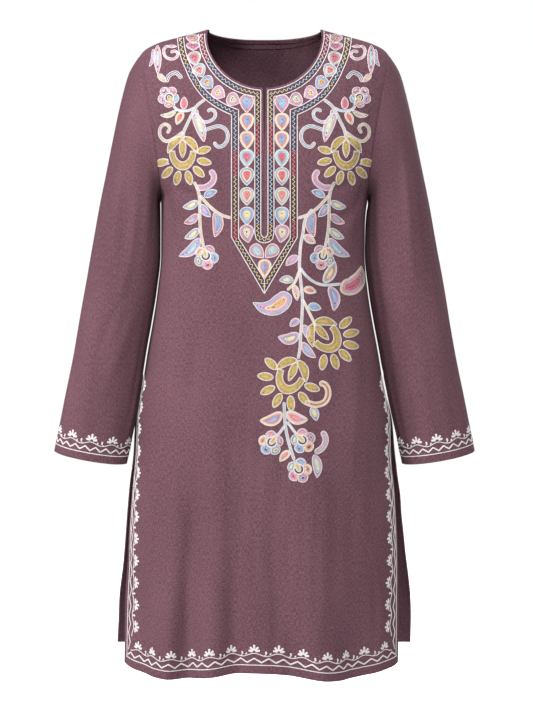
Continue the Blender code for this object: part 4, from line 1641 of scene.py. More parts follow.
def leaf(
    c0: float, r0: float, c1: float, r1: float, width: float, bend: float, *yarns: Yarn,
    shape: Shape = Shape.LEAF,
) -> Motif:
    """A leaf, bud or drop.

    Args:
        c0: The column of its base.
        r0: The row of its base.
        c1: The column of its tip.
        r1: The row of its tip.
        width: Its width.
        bend: How far its middle lies to the side, as a share of its length.
        yarns: Its threads, from the outside in.
        shape: How it swells.

    Returns:
        The leaf.
    """
    middle = ((c0 + c1) / 2 - bend * (r1 - r0), (r0 + r1) / 2 + bend * (c1 - c0))
    return Motif(((c0, r0), middle, (c1, r1)), width, yarns, shape)


def vine(width: float, *rest: tuple[float, float] | Yarn) -> Motif:
    """A stem or tendril of one width.

    Args:
        width: Its width.
        rest: Its knots, and then its threads.

    Returns:
        The stem.
    """
    knots = tuple(item for item in rest if not isinstance(item, Yarn))
    yarns = tuple(item for item in rest if isinstance(item, Yarn))
    return Motif(knots, width, yarns, Shape.BAND)


@dataclass(frozen=True)
class Flower:
    """A round flower: five petals, a white ring, a dark eye and a drop on the stem's side."""

    column: float
    row: float
    radius: float
    stem: float
    petals: tuple[tuple[Yarn, ...], ...]
    heart: tuple[Yarn, ...] = (Yarn.CREAM, Yarn.GOLD)

    def stitch(self, chart: Chart, work: Needlework, mirror: int) -> None:
        """Sews the flower, like a motif.

        Args:
            chart: The chart that it is drawn on.
            work: The needlework that it belongs to.
            mirror: 1 as drawn, -1 for the other side.
        """
        middle = np.array((self.column, self.row))

        def towards(degrees: np.ndarray | float) -> np.ndarray:
            """The direction at an angle from the chart's columns, turning downwards."""
            return np.stack((np.cos(np.radians(degrees)), np.sin(np.radians(degrees))), -1)

        eye = middle + towards(self.stem) * 0.10 * self.radius
        spread = np.linspace(-34.5, 34.5, 13)
        reach = 0.55 * np.cos(np.radians(spread))
        reach += np.sqrt(0.45**2 - (0.55 * np.sin(np.radians(spread))) ** 2)
        for k, yarns in enumerate(self.petals):
            turn = self.stem + 36 + 72 * k
            outer = middle + towards(turn + spread) * reach[:, None] * self.radius
            inner = eye + towards(turn + spread[::-3]) * 0.38 * self.radius
            core = middle + towards(turn + spread[3:-3]) * 0.70 * self.radius
            petal = Motif(core, 0.0, yarns, Shape.PETAL, np.concatenate((outer, inner)))
            petal.stitch(chart, work, mirror)
        white = eye + towards(np.linspace(0, 360, 31)) * 0.375 * self.radius
        work.sew(*chart.lay(white, mirror), (Yarn.WHITE,), 0.0010, 0.0010, closed=True)
        dark = eye + towards(np.linspace(self.stem + 50, self.stem + 310, 24)) * 0.245 * self.radius
        work.sew(*chart.lay(dark, mirror), (Yarn.NAVY,), 0.0008, 0.0009)
        way = towards(self.stem)
        ends = [eye + way * s * self.radius for s in (-0.24, 0.28, 0.90)]
        heart = Motif(ends, 0.47 * self.radius, self.heart, Shape.DROP, lift=0.0006)
        heart.stitch(chart, work, mirror)


@dataclass(frozen=True)
class Lotus:
    """A gold lotus: petals round a deep cup, two sepals over its rim and a drop between them.

    All its parts are worked out from the cup's middle and radius, the way that its axis points,
    and the number and spread of its petals. Sizes with a default are in cup radii.
    """

    middle: tuple[float, float]
    radius: float
    degrees: float
    petals: int
    spread: tuple[float, float]
    threads: tuple[Yarn, ...] = (Yarn.GOLD, Yarn.OCHRE, Yarn.GOLD)
    rim_at: float = 0.43
    outer_bowl: tuple[float, float] = (1.0, 1.43)
    middle_bowl: tuple[float, float] = (0.76, 1.10)
    inner_bowl: tuple[float, float] = (0.53, 0.78)
    petal_ends: tuple[float, float] = (1.04, 2.14)
    petal_width: float = 0.58
    sepal: tuple[tuple[float, float], ...] = ((0.0, -1.40), (0.66, -0.98), (1.10, -0.22))
    sepal_width: float = 0.60
    drop: tuple[tuple[float, float], ...] = ((0.0, -1.24), (0.0, -0.55), (0.0, 0.14))
    drop_width: float = 0.56

    def place(self, across: float, along: float) -> tuple[float, float]:
        """Finds a place of the lotus on the chart.

        Args:
            across: How far it lies to the side of the axis, in cup radii.
            along: How far it lies along the axis from the cup's middle, in cup radii.

        Returns:
            Its column and row.
        """
        axis = (np.cos(np.radians(self.degrees)), np.sin(np.radians(self.degrees)))
        return (self.middle[0] + self.radius * (along * axis[0] - across * axis[1]),
                self.middle[1] + self.radius * (along * axis[1] + across * axis[0]))

    def bowl(self, half: float, depth: float, knots: int = 9) -> list[tuple[float, float]]:
        """Draws half an oval that hangs from the cup's rim.

        Args:
            half: Half its width, in cup radii.
            depth: Its depth, in cup radii.
            knots: The number of its knots.

        Returns:
            Its knots on the chart, from one end of the rim to the other.
        """
        turns = np.linspace(-0.5 * np.pi, 0.5 * np.pi, knots)
        return [self.place(half * np.sin(turn), depth * np.cos(turn) - self.rim_at)
                for turn in turns]

    def stitch(self, chart: Chart, work: Needlework, mirror: int) -> None:
        """Sews the lotus.

        Args:
            chart: The chart that it is drawn on.
            work: The needlework that it belongs to.
            mirror: 1 as drawn, -1 for the other side.
        """
        for turn in np.radians(np.linspace(*self.spread, self.petals)):
            foot, tip = (self.place(reach * np.sin(turn), reach * np.cos(turn))
                         for reach in self.petal_ends)
            petal = leaf(*foot, *tip, self.petal_width * self.radius, 0.0, *self.threads,
                         shape=Shape.PETAL)
            petal.stitch(chart, work, mirror)
        rim, hollow = self.bowl(*self.outer_bowl), self.bowl(*self.inner_bowl)[::-1]
        edge = (*rim, rim[-1], hollow[0], *hollow, hollow[-1], rim[0])
        line = tuple(self.bowl(*self.middle_bowl, 6))
        cup = Motif(line, 0.0, self.threads, Shape.LEAF, edge, core=2.3)
        cup.stitch(chart, work, mirror)
        for side in (-1.0, 1.0):
            line = tuple(self.place(across * side, along) for across, along in self.sepal)
            sepal = Motif(line, self.sepal_width * self.radius, self.threads, core=2.0)
            sepal.stitch(chart, work, mirror)
        line = tuple(self.place(*knot) for knot in self.drop)
        drop = Motif(line, self.drop_width * self.radius, self.threads, core=2.0)
        drop.stitch(chart, work, mirror)


Y = Yarn
BLOOM = (
    (Y.CORAL, Y.SKY), (Y.SKY, Y.SLATE), (Y.PINK, Y.CORAL), (Y.SLATE, Y.YELLOW), (Y.YELLOW, Y.CORAL),
)
UPPER_SPRAY = (
    leaf(107.2, 20.0, 107.0, 49.6, 8.0, 0.0, Y.PINK, Y.MINT),
    leaf(111.6, 23.8, 115.6, 42.2, 5.2, 0.12, Y.LILAC, Y.SKY),
    leaf(107.2, 48.8, 98.4, 57.4, 6.4, 0.0, Y.ORANGE, Y.SKY),
    leaf(97.6, 21.2, 87.0, 21.6, 3.6, 0.0, Y.PINK),
    leaf(80.9, 84.6, 80.4, 71.4, 8.0, 0.0, Y.CORAL, Y.ROSE),
    leaf(81.5, 86.8, 88.1, 100.2, 8.4, -0.05, Y.YELLOW, Y.ROSE),
    leaf(88.1, 85.6, 104.8, 90.4, 5.8, 0.14, Y.YELLOW, Y.SLATE),
    leaf(71.2, 87.6, 60.3, 117.6, 11.0, 0.05, Y.PINK, Y.MINT, Y.CREAM),
    leaf(60.7, 172.4, 47.0, 166.2, 8.0, 0.06, Y.SLATE, Y.SKY),
    leaf(66.6, 176.4, 82.2, 182.6, 8.6, 0.10, Y.SKY, Y.YELLOW),
    leaf(63.9, 179.6, 53.8, 192.5, 8.6, -0.06, Y.SLATE, Y.LILAC),
    leaf(66.6, 189.4, 80.9, 198.7, 8.4, 0.10, Y.CORAL, Y.SKY),
    Motif(((49.6, 187.0), (46.4, 199.0), (49.8, 213.0)), 11.4, (Y.CORAL, Y.SKY, Y.SLATE)),
    leaf(66.1, 203.7, 80.4, 213.9, 8.6, 0.10, Y.SKY, Y.YELLOW),
    leaf(64.9, 213.5, 86.0, 232.0, 11.0, 0.13, Y.LILAC, Y.SKY, Y.MINT),
    vine(3.2, (96.4, 20.4), (100.3, 23.4), (100.9, 27.6), (99.0, 31.8), (94.7, 34.0), (90.4, 33.7),
         (87.2, 31.2), (86.9, 28.2), (89.2, 26.2), (92.4, 26.6), (93.6, 28.2), Y.BLUSH),
    vine(4.4, (98.2, 57.4), (96.6, 52.0), (92.6, 48.6), (88.0, 48.0), (82.6, 53.6), Y.ICE, Y.SKY),
    vine(3.6, (68.2, 84.6), (66.1, 92.8), (59.0, 97.3), (50.8, 93.8), (49.3, 87.6), (53.7, 84.4),
         (57.2, 87.0), Y.ICE),
    vine(4.0, (60.5, 105.7), (52.9, 102.9), (44.7, 101.4), (37.9, 106.0), (36.9, 114.2),
         (40.8, 120.4), (46.7, 122.0), (50.9, 117.2), Y.ICE),
    vine(3.6, (81.5, 107.0), (89.6, 113.1), (98.6, 116.5), (104.5, 111.1), (104.5, 103.3),
         (99.6, 99.2), (94.9, 102.9), (97.5, 108.7), Y.CREAM),
    vine(6.4, (68.5, 162.8), (59.9, 162.8), (52.3, 157.8), (50.7, 151.0), (54.7, 145.4),
         Y.PINK, Y.LILAC),
    vine(3.4, (59.5, 74.4), (68.2, 81.5), (74.3, 92.8), (80.5, 106.0), (81.9, 113.4), Y.IVORY),
    vine(3.0, (91.6, 80.7), (86.9, 85.1), (77.4, 85.9), (69.2, 82.5), Y.ICE),
    vine(3.4, (64.7, 170.8), (54.5, 182.2), (43.8, 190.0), (33.5, 193.6), Y.CREAM),
    vine(3.4, (70.6, 156.8), (66.1, 167.1), (64.8, 178.7), (64.8, 192.9), (63.9, 207.2),
         (61.1, 222.3), Y.CREAM),
    Flower(96.2, 71.8, 11.2, 128.0, ((Y.SKY, Y.MINT), (Y.CORAL, Y.SKY), (Y.PINK, Y.MINT),
                                     (Y.PINK, Y.SKY), (Y.CORAL, Y.MINT)), (Y.GOLD, Y.CREAM)),
    Flower(58.5, 232.7, 12.9, -78.0, (BLOOM[4], BLOOM[3], BLOOM[2], BLOOM[1], BLOOM[0])),
    Lotus((82.0, 131.8), 14.0, 90.0, 7, (107.0, -74.0)),
)
LONG_SPRAY = (
    vine(3.3, (48.0, 184.3), (40.9, 195.1), (38.9, 207.6), (36.4, 220.1), (35.5, 231.7),
         (35.1, 242.4), (36.4, 256.7), (38.1, 272.8), (38.0, 285.3), (37.1, 300.4), (36.2, 313.8),
         (35.8, 323.8), (33.7, 335.0), Y.IVORY),
    vine(3.0, (35.7, 243.3), (42.6, 252.2), (51.6, 258.5), (61.4, 260.7), (76.9, 259.6), Y.ICE),
    vine(3.0, (35.5, 245.1), (30.3, 258.2), (22.8, 266.0), Y.CREAM),
    vine(3.1, (38.2, 274.8), (44.3, 287.1), (51.7, 301.8), Y.CREAM),
    vine(3.4, (19.7, 377.9), (20.4, 393.3), (21.3, 403.9), (24.6, 419.3), (29.9, 436.2), Y.ICE),
    vine(3.0, (20.7, 401.6), (12.9, 412.0), Y.ICE),
    vine(3.0, (22.5, 397.6), (32.1, 410.2), Y.ICE),
    vine(6.4, (40.5, 377.8), (51.4, 380.8), (60.7, 377.8), (64.2, 369.2), (61.4, 361.0),
         (54.8, 358.8), Y.YELLOW, Y.ROSE),
    vine(6.4, (50.6, 429.1), (58.1, 424.0), (61.4, 417.2), (60.4, 411.4), (57.1, 407.7),
         Y.PINK, Y.MINT),
    leaf(40.0, 210.3, 51.8, 218.6, 8.6, 0.05, Y.CREAM, Y.PINK),
    leaf(34.2, 231.7, 21.3, 241.4, 8.6, 0.06, Y.PINK, Y.LILAC),
    leaf(29.3, 255.8, 14.6, 256.2, 8.6, 0.06, Y.SKY, Y.YELLOW),
    leaf(29.3, 260.3, 32.8, 276.7, 7.6, -0.05, Y.CREAM, Y.PINK),
    leaf(59.6, 258.5, 71.0, 236.7, 11.4, 0.06, Y.MINT, Y.CORAL, Y.YELLOW),
    leaf(65.0, 262.1, 69.6, 287.0, 11.0, -0.14, Y.PINK, Y.SLATE, Y.SKY),
    leaf(39.1, 264.7, 52.4, 268.0, 8.4, -0.04, Y.CREAM, Y.CORAL),
    leaf(43.5, 281.7, 57.3, 284.6, 8.8, -0.04, Y.SKY, Y.SLATE),
    leaf(35.3, 295.1, 25.5, 302.5, 8.0, 0.06, Y.PINK, Y.SLATE),
    leaf(38.9, 300.4, 43.1, 314.7, 8.0, -0.08, Y.PINK, Y.SKY),
    leaf(34.9, 309.4, 13.5, 312.7, 12.0, -0.18, Y.PINK, Y.SLATE, Y.YELLOW),
    leaf(38.0, 317.8, 51.7, 333.9, 9.0, 0.08, Y.PINK, Y.SKY),
    leaf(47.1, 382.8, 52.2, 397.2, 9.4, -0.06, Y.SKY, Y.YELLOW),
    leaf(17.9, 388.4, -5.0, 396.7, 12.4, -0.16, Y.YELLOW, Y.CORAL, Y.SLATE),
    leaf(22.2, 387.7, 44.0, 395.7, 12.4, 0.14, Y.CREAM, Y.PINK, Y.CORAL),
    leaf(49.9, 430.5, 52.8, 454.4, 10.0, -0.08, Y.LILAC, Y.MINT, Y.CREAM),
    leaf(26.0, 427.0, 15.2, 437.9, 8.4, 0.05, Y.YELLOW, Y.CORAL),
    Motif(((22.0, 267.3), (18.5, 276.0), (10.0, 282.6), (-1.0, 283.4), (-12.4, 278.0)), 19.0,
          (Y.SKY, Y.PINK, Y.LILAC, Y.CREAM, Y.ORANGE), Shape.COMMA),
    Motif(((77.0, 259.0), (84.0, 262.0), (91.0, 259.0), (95.6, 251.0), (97.2, 241.0)), 19.0,
          (Y.YELLOW, Y.PINK, Y.LILAC, Y.ROSE), Shape.COMMA),
    Flower(6.4, 419.3, 13.0, -52.0, (BLOOM[0], BLOOM[3], BLOOM[1], BLOOM[4], BLOOM[2])),
    Flower(39.0, 417.2, 13.0, -134.0, (BLOOM[2], BLOOM[0], BLOOM[4], BLOOM[1], BLOOM[3])),
    Flower(35.1, 446.7, 13.0, -116.0, (BLOOM[1], BLOOM[4], BLOOM[0], BLOOM[2], BLOOM[3])),
    Lotus((63.5, 314.5), 15.2, 47.0, 6, (-89.0, 54.0)),
    Lotus((25.0, 355.5), 15.2, 113.0, 7, (108.0, -94.0)),
)
NECK_DROPS = (
    (71.5, 13.8, Y.LILAC, Y.ORANGE, Y.YELLOW), (71.5, 21.3, Y.PINK, Y.MAGENTA, Y.ORANGE),
    (70.2, 33.6, Y.MINT, Y.CORAL, Y.ROSE), (65.1, 45.8, Y.SKY, Y.CREAM, Y.CORAL),
    (56.9, 58.0, Y.SLATE, Y.SKY, Y.ORANGE), (45.7, 68.2, Y.PINK, Y.LILAC, Y.YELLOW),
    (30.9, 74.8, Y.CORAL, Y.SKY, Y.CREAM),
)
FRONT_DROPS = (
    (78.8, Y.CORAL, Y.SLATE, Y.SKY), (97.2, Y.YELLOW, Y.CORAL, Y.SLATE),
    (115.4, Y.YELLOW, Y.CORAL, Y.SLATE), (133.5, Y.MINT, Y.SKY, Y.ROSE),
    (151.8, Y.SLATE, Y.YELLOW, Y.ROSE), (171.8, Y.SKY, Y.YELLOW, Y.CORAL),
    (191.4, Y.SLATE, Y.SKY, Y.YELLOW), (209.2, Y.CORAL, Y.SLATE, Y.CREAM),
)
PAIRED_DROP = Motif(
    ((13.4, 221.4), (7.2, 226.8), (0.7, 233.6)), 13.6, (Y.CORAL, Y.SKY, Y.MINT), Shape.DROP,
)
POINT_DROP = Motif(
    ((0.3, 234.4), (0.3, 243.0), (0.6, 253.6)), 13.8, (Y.YELLOW, Y.CORAL, Y.SLATE), Shape.DROP,
)
INNER_RUNS = (
    (34.0, Y.BLUSH, Y.MAROON), (64.0, Y.ICE, Y.NAVY), (98.0, Y.YELLOW, Y.BROWN),
    (130.0, Y.CORAL, Y.MAROON), (199.0, Y.ICE, Y.NAVY), (400.0, Y.YELLOW, Y.BROWN),
)
OUTER_RUNS = (
    (40.0, Y.YELLOW, Y.BROWN), (57.0, Y.ICE, Y.NAVY), (63.0, Y.YELLOW, Y.BROWN),
    (126.0, Y.ICE, Y.NAVY), (150.0, Y.CORAL, Y.MAROON), (197.0, Y.YELLOW, Y.BROWN),
    (214.0, Y.CORAL, Y.MAROON), (400.0, Y.YELLOW, Y.BROWN),
)


@dataclass
class NeckBand:
    """The band of embroidery round the neck and down both edges of its slit."""

    chart: Chart
    inner_lines: tuple[float, float] = (2.4, 9.3)
    outer_lines: tuple[float, float] = (26.0, 33.0)
    zigzag_half_pitch: float = 2.25
    zigzag_reach: float = 1.35
    line_gap: float = 15.0
    inner_width: float = 6.9
    outer_width: float = 7.0
    inner_from: float = 90.0
    outer_from: float = 87.0
    neck_places: int = 76
    narrowed: float = 0.11
    narrowed_from: float = 42.0
    narrowed_over: float = 22.0
    inner_column: tuple[float, float] = (3.6, 6.0)
    inner_foot: float = 208.5
    outer_column: tuple[float, float] = (25.9, 7.1)
    outer_foot: float = 213.8
    point_row: tuple[float, float] = (254.8, 14.5)
    neck_drop_width: float = 14.6
    front_drop_width: float = 14.8
    front_drop_column: float = 17.6
    front_drop_reach: float = 9.4
    last_drop_shift: float = 1.6
    point: tuple[tuple[float, float], ...] = ((0.0, 254.8), (0.0, 269.3))
    inner_turn: tuple[tuple[float, float, float], ...] = (
        (1.0, 0.0, 0.0), (0.86, 2.4, 3.6), (0.5, 4.0, 4.8), (0.0, 4.6, 5.4),
    )
    work: Needlework = field(default_factory=lambda: Needlework("neck_line_threads"))
    drops: Needlework = field(default_factory=lambda: Needlework("neck_drop_threads"))

    def neck_edge(self, angle: np.ndarray) -> tuple[np.ndarray, np.ndarray]:
        """Finds the neck's edge on the chart.

        Args:
            angle: Angles round the neck from the middle of the front.

        Returns:
            Its points, and the direction away from the neck at each.
        """
        x = NECK_HALF_WIDTH * np.sin(angle)
        z = NECK_CENTRE_Z - NECK_DROP * np.cos(angle)
        y = np.minimum(TunicForm().depth(Panel.FRONT, x, z), 0)
        scale = (CHART_Y - EYE.y) / (y - EYE.y)
        column = (EYE.x + (x - EYE.x) * scale) / CHART_SQUARE
        row = -(EYE.z + (z - EYE.z) * scale) / CHART_SQUARE
        points = np.stack((column, row), -1)
        away = np.stack((np.sin(angle), np.cos(angle)), -1)
        return points, away

    def line(self, offset: float) -> list[np.ndarray]:
        """The band's line at a distance from the edges: its neck part and its slit part.

        Args:
            offset: The distance from the edges, in squares of the chart.

        Returns:
            The points of the neck part and of the slit part.
        """
        inner = offset < self.line_gap
        angle = np.radians(np.linspace(self.inner_from if inner else self.outer_from, 0.0,
                                       self.neck_places))
        edge, away = self.neck_edge(angle)
        towards_shoulder = (np.degrees(angle) - self.narrowed_from) / self.narrowed_over
        narrowing = 1 - self.narrowed * np.clip(towards_shoulder, 0, 1)
        curve = edge + away * offset * narrowing[:, None]
        if inner:
            share = (offset - self.inner_lines[0]) / self.inner_width
            column, foot = self.inner_column[0] + self.inner_column[1] * share, self.inner_foot
            tail = [(column * across, foot + drop + widening * share)
                    for across, drop, widening in self.inner_turn]
        else:
            share = (offset - self.outer_lines[0]) / self.outer_width
            column = self.outer_column[0] + self.outer_column[1] * share
            foot = self.outer_foot - share
            tail = [(column, foot), (0.0, self.point_row[0] + self.point_row[1] * share)]
        kept = curve[curve[:, 0] > column]
        beyond = curve[len(kept)]
        before = kept[-1]
        part = (before[0] - column) / (before[0] - beyond[0])
        corner = before + part * (beyond - before)
        neck = np.concatenate((kept, [corner]))
        down = np.array([corner] + tail)
        return [evenly(neck, 1.0), evenly(down, 1.0)]

    def over_shoulder(self, points: np.ndarray, normals: np.ndarray) -> tuple:
        """Leads a line on from its first point to the shoulder seam.

        Args:
            points: The line, from near the shoulder down.
            normals: The cloth's normals along it.

        Returns:
            The longer line and its normals.
        """
        start = points[0]
        ridge = float(through(SHOULDER_LINE, "z", abs(start[0]))) - 0.0004
        if start[2] > ridge:
            return points, normals
        form = TunicForm()
        z = ridge - (ridge - start[2]) * np.linspace(0, 1, 10)[:-1] ** 2
        x = np.full_like(z, start[0])
        y = np.minimum(form.depth(Panel.FRONT, x, z), -0.0015)
        led, ways = self.chart.settle(np.stack((x, y, z), -1))
        return np.concatenate((led, points)), np.concatenate((ways, normals))

    def sew_line(self, offset: float) -> None:
        """Sews a white line of the band, at a distance from the edges, on both sides.

        Args:
            offset: The distance from the edges, in squares of the chart.
        """
        for mirror in (1, -1):
            neck, down = self.line(offset)
            for points, normals in (self.over_shoulder(*self.chart.lay(neck, mirror)),
                                    self.chart.lay(down, mirror)):
                self.work.sew(points, normals, (Y.WHITE,), 0.00085, 0.0010, change=0.06)

    def runs(self, line: np.ndarray, inner: bool) -> list[tuple[np.ndarray, Yarn, Yarn]]:
        """Cuts a line into its runs of one colour.

        Args:
            line: The line on the chart.
            inner: Whether it belongs to the inner pair of lines.

        Returns:
            Each run, with the threads of its zigzag and of its ground.
        """
        cut, start = [], 0
        for foot, zigzag, ground in INNER_RUNS if inner else OUTER_RUNS:
            inside = np.flatnonzero(line[start:, 1] < foot)
            if len(inside) < 2:
                continue
            stop = start + inside[-1] + 2
            cut.append((line[start:stop], zigzag, ground))
            start = stop - 1
        return cut

    def sew_runs(self, low: float, high: float) -> None:
        """Sews the ground and the zigzag between two of the band's lines.

        Args:
            low: The first line's distance from the edges.
            high: The second line's.
        """
        inner = low < self.line_gap
        for mirror in (1, -1):
            for share in (0.25, 0.5, 0.75):
                for number, line in enumerate(self.line(low + share * (high - low))):
                    for place, (part, _, ground) in enumerate(self.runs(line, inner)):
                        points, normals = self.chart.lay(part, mirror)
                        if number == place == 0:
                            points, normals = self.over_shoulder(points, normals)
                        self.work.sew(points, normals, (ground,), 0.0015, 0.0004)
            for number, line in enumerate(self.line((low + high) / 2)):
                for place, (part, zigzag, _) in enumerate(self.runs(line, inner)):
                    self.sew_zigzag(part, (zigzag,), mirror, number == place == 0)

    def sew_zigzag(self, line: np.ndarray, yarns: Sequence[Yarn], mirror: int, led: bool) -> None:
        """Sews a zigzag along a line, led over the shoulder or not.

        Args:
            line: The line on the chart.
            yarns: Its threads.
            mirror: 1 as drawn, -1 for the other side.
            led: Whether it is led on to the shoulder seam.
        """
        line = evenly(line, self.zigzag_half_pitch)
        ahead = unit(np.gradient(line, axis=0))
        beside = np.stack((ahead[:, 1], -ahead[:, 0]), -1)
        turns = np.where(np.arange(len(line)) % 2, 1, -1)[:, None]
        points, normals = self.chart.lay(line + beside * turns * self.zigzag_reach, mirror)
        if led:
            points, normals = self.zigzag_over_shoulder(points, normals)
        self.work.sew(points, normals, yarns, 0.00060, 0.0013, change=0.09)

    def zigzag_over_shoulder(self, points: np.ndarray, normals: np.ndarray) -> tuple:
        """Leads a zigzag on over the shoulder, like a line.

        Args:
            points: The zigzag, from near the shoulder down.
            normals: The cloth's normals along it.

        Returns:
            The longer zigzag and its normals.
        """
        middle = (points[0] + points[1]) / 2
        line, ways = self.over_shoulder(np.array([middle]), normals[:1])
        run = arc(line[None], 1)[0][-1]
        if run < 0.006:
            return points, normals
        both = np.concatenate((line, ways), axis=1)
        line = evenly(both, self.zigzag_half_pitch * CHART_SQUARE)[:-1]
        turns = np.where(np.arange(len(line)) % 2, 1, -1)[::-1, None]
        moved = line[:, :3] + turns * np.array((self.zigzag_reach * CHART_SQUARE, 0, 0))
        return np.concatenate((moved, points)), np.concatenate((line[:, 3:], normals))

    def build(self) -> None:
        """Sews the whole band."""
        for low, high in (self.inner_lines, self.outer_lines):
            self.sew_runs(low, high)
            self.sew_line(low)
            self.sew_line(high)
        tip = evenly(np.array(self.point), 1.0)
        self.work.sew(*self.chart.lay(tip, 1), (Y.WHITE,))
        for mirror in (1, -1):
            for number, (column, row, *yarns) in enumerate(NECK_DROPS):
                ahead = NECK_DROPS[min(number + 1, len(NECK_DROPS) - 1)]
                behind = NECK_DROPS[max(number - 1, 0)]
                way = unit(np.array((ahead[0] - behind[0], ahead[1] - behind[1])))
                reach = 7.4 if number > 1 else 4.6
                knots = tuple((column + way[0] * s * reach, row + way[1] * s * reach)
                              for s in (-1, 0, 1))
                drop = Motif(knots, self.neck_drop_width, tuple(yarns), Shape.DROP)
                drop.stitch(self.chart, self.drops, mirror)
            for number, (row, *yarns) in enumerate(FRONT_DROPS):
                column, reach = self.front_drop_column, self.front_drop_reach
                shift = self.last_drop_shift if number == len(FRONT_DROPS) - 1 else 0.0
                knots = ((column, row - reach), (column, row), (column - shift, row + reach))
                drop = Motif(knots, self.front_drop_width, tuple(yarns), Shape.DROP)
                drop.stitch(self.chart, self.drops, mirror)
            PAIRED_DROP.stitch(self.chart, self.drops, mirror)
        POINT_DROP.stitch(self.chart, self.drops, 1)
        self.work.build()
        self.drops.build()


@dataclass
class Border:
    """A white border along an edge: a line, a zigzag, and a vine of small flowers.

    Its places are given by a distance along the edge and one from it.
    """

    place: Callable[[np.ndarray, np.ndarray], tuple[np.ndarray, np.ndarray]]
    work: Needlework
    start: float
    end: float
    closed: bool = False
    inset: float = 0.0
    inset_end: float = 0.0
    line_at: float = 0.0130
    zigzag_at: float = 0.0200
    zigzag_reach: float = 0.0031
    zigzag_pitch: float = 0.0225
    vine_at: float = 0.0285
    vine_reach: float = 0.0022
    flower_pitch: float = 0.0385
    zigzag_half: float = 0.00135
    petal_length: float = 0.0082
    petal_half: float = 0.00200
    petals: tuple[tuple[float, float], ...] = (
        (-80, 0.86), (-42, 0.94), (0, 1.1), (42, 0.94), (80, 0.86),
    )
    curl_along: tuple[float, ...] = (-0.0034, -0.0026, -0.0008, 0.0)
    curl_up: tuple[float, ...] = (0.0002, 0.0014, 0.0024, 0.0034)

    def sew(
        self, along: np.ndarray, up: np.ndarray, half: float = 0.0008, high: float = 0.0008
    ) -> None:
        """Sews a white row through places along and up from the edge."""
        self.work.sew(*self.place(along, up), (Y.WHITE,), half, high)

    def petal(self, along: float, up: float, degrees: float, length: float, half: float) -> None:
        """Sews a small solid petal from a place, leaning from straight up by an angle.

        Args:
            along: How far along the edge it starts.
            up: How far from the edge it starts.
            degrees: How far it leans.
            length: Its length.
            half: Half its width.
        """
        out = np.linspace(0, length, 4)
        lean = math.radians(degrees)
        points, normals = self.place(along + out * math.sin(lean), up + out * math.cos(lean))
        self.work.sew(points, normals, (Yarn.WHITE,), half, 0.0011)

    def build(self) -> None:
        """Sews the border."""
        length = self.end - self.start
        along = np.append(np.arange(self.start, self.end, 0.002), self.end)
        self.sew(along, np.full_like(along, self.line_at), 0.0009, 0.0010)
        first, last = self.start + 0.35 * self.inset, self.end - 0.35 * self.inset_end
        turns = max(2, 2 * round((last - first) / self.zigzag_pitch))
        corner = np.linspace(first, last, turns + 1)
        level = self.zigzag_at + np.where(np.arange(turns + 1) % 2, 1, -1) * self.zigzag_reach
        fine = np.linspace(first, last, turns * 5 + 1)
        self.sew(fine, np.interp(fine, corner, level), self.zigzag_half, 0.0011)
        first, last = self.start + self.inset, self.end - self.inset_end
        flowers = max(1, round((last - first) / self.flower_pitch))
        pitch = (last - first) / flowers
        along = along[(along >= first) & (along <= last)]
        wave = np.cos(2 * math.pi * (along - first - pitch / 2) / pitch)
        self.sew(along, self.vine_at + self.vine_reach * wave, 0.0008, 0.0010)
        for k in range(flowers):
            middle = first + (k + 0.5) * pitch
            base = self.vine_at + self.vine_reach
            for degrees, size in self.petals:
                lean = math.radians(degrees)
                foot = middle + 0.0020 * math.sin(lean)
                level = base + 0.0026 + 0.0014 * math.cos(lean)
                self.petal(foot, level, degrees, self.petal_length * size, self.petal_half)
            beside = middle + pitch / 2
            if beside < last - 0.004 or self.closed:
                low = self.vine_at - self.vine_reach
                self.petal(beside - 0.0002, low + 0.0030, -8, 0.0046, 0.0017)
                self.petal(beside + 0.0052, low + 0.0022, 34, 0.0036, 0.0013)
                self.sew(beside + np.array(self.curl_along), low + np.array(self.curl_up))


@dataclass
class EdgeMap:
    """Places on a grid of cloth by distances along one edge and away from it."""

    points: np.ndarray
    normals: np.ndarray

    def place(self, along: np.ndarray, away: np.ndarray) -> tuple[np.ndarray, np.ndarray]:
        """Finds places by their distance along the first row and up the columns.

        Args:
            along: Distances along the first row from its start.
            away: Distances up from it.

        Returns:
            The points on the cloth and its normals there.
        """
        first = arc(self.points[:1], 1)[0]
        column = np.interp(np.asarray(along, float), first, np.arange(len(first)))
        up = arc(self.points, 0)
        low = np.clip(np.floor(column).astype(int), 0, len(first) - 2)
        rest = column - low
        rows = np.arange(len(self.points))
        height = [np.interp(a, up[:, k] * (1 - r) + up[:, k + 1] * r, rows)
                  for a, k, r in zip(away, low, rest)]
        base = np.clip(np.floor(height).astype(int), 0, len(self.points) - 2)
        part = (np.array(height) - base)[:, None]
        side = rest[:, None]

        def read(grid: np.ndarray) -> np.ndarray:
            """The grid's values at the places.

            Args:
                grid: The values at the grid's points.

            Returns:
                The values at the places.
            """
            lower = grid[base, low] * (1 - side) + grid[base, low + 1] * side
            upper = grid[base + 1, low] * (1 - side) + grid[base + 1, low + 1] * side
            return lower * (1 - part) + upper * part

        return read(self.points), unit(read(self.normals))


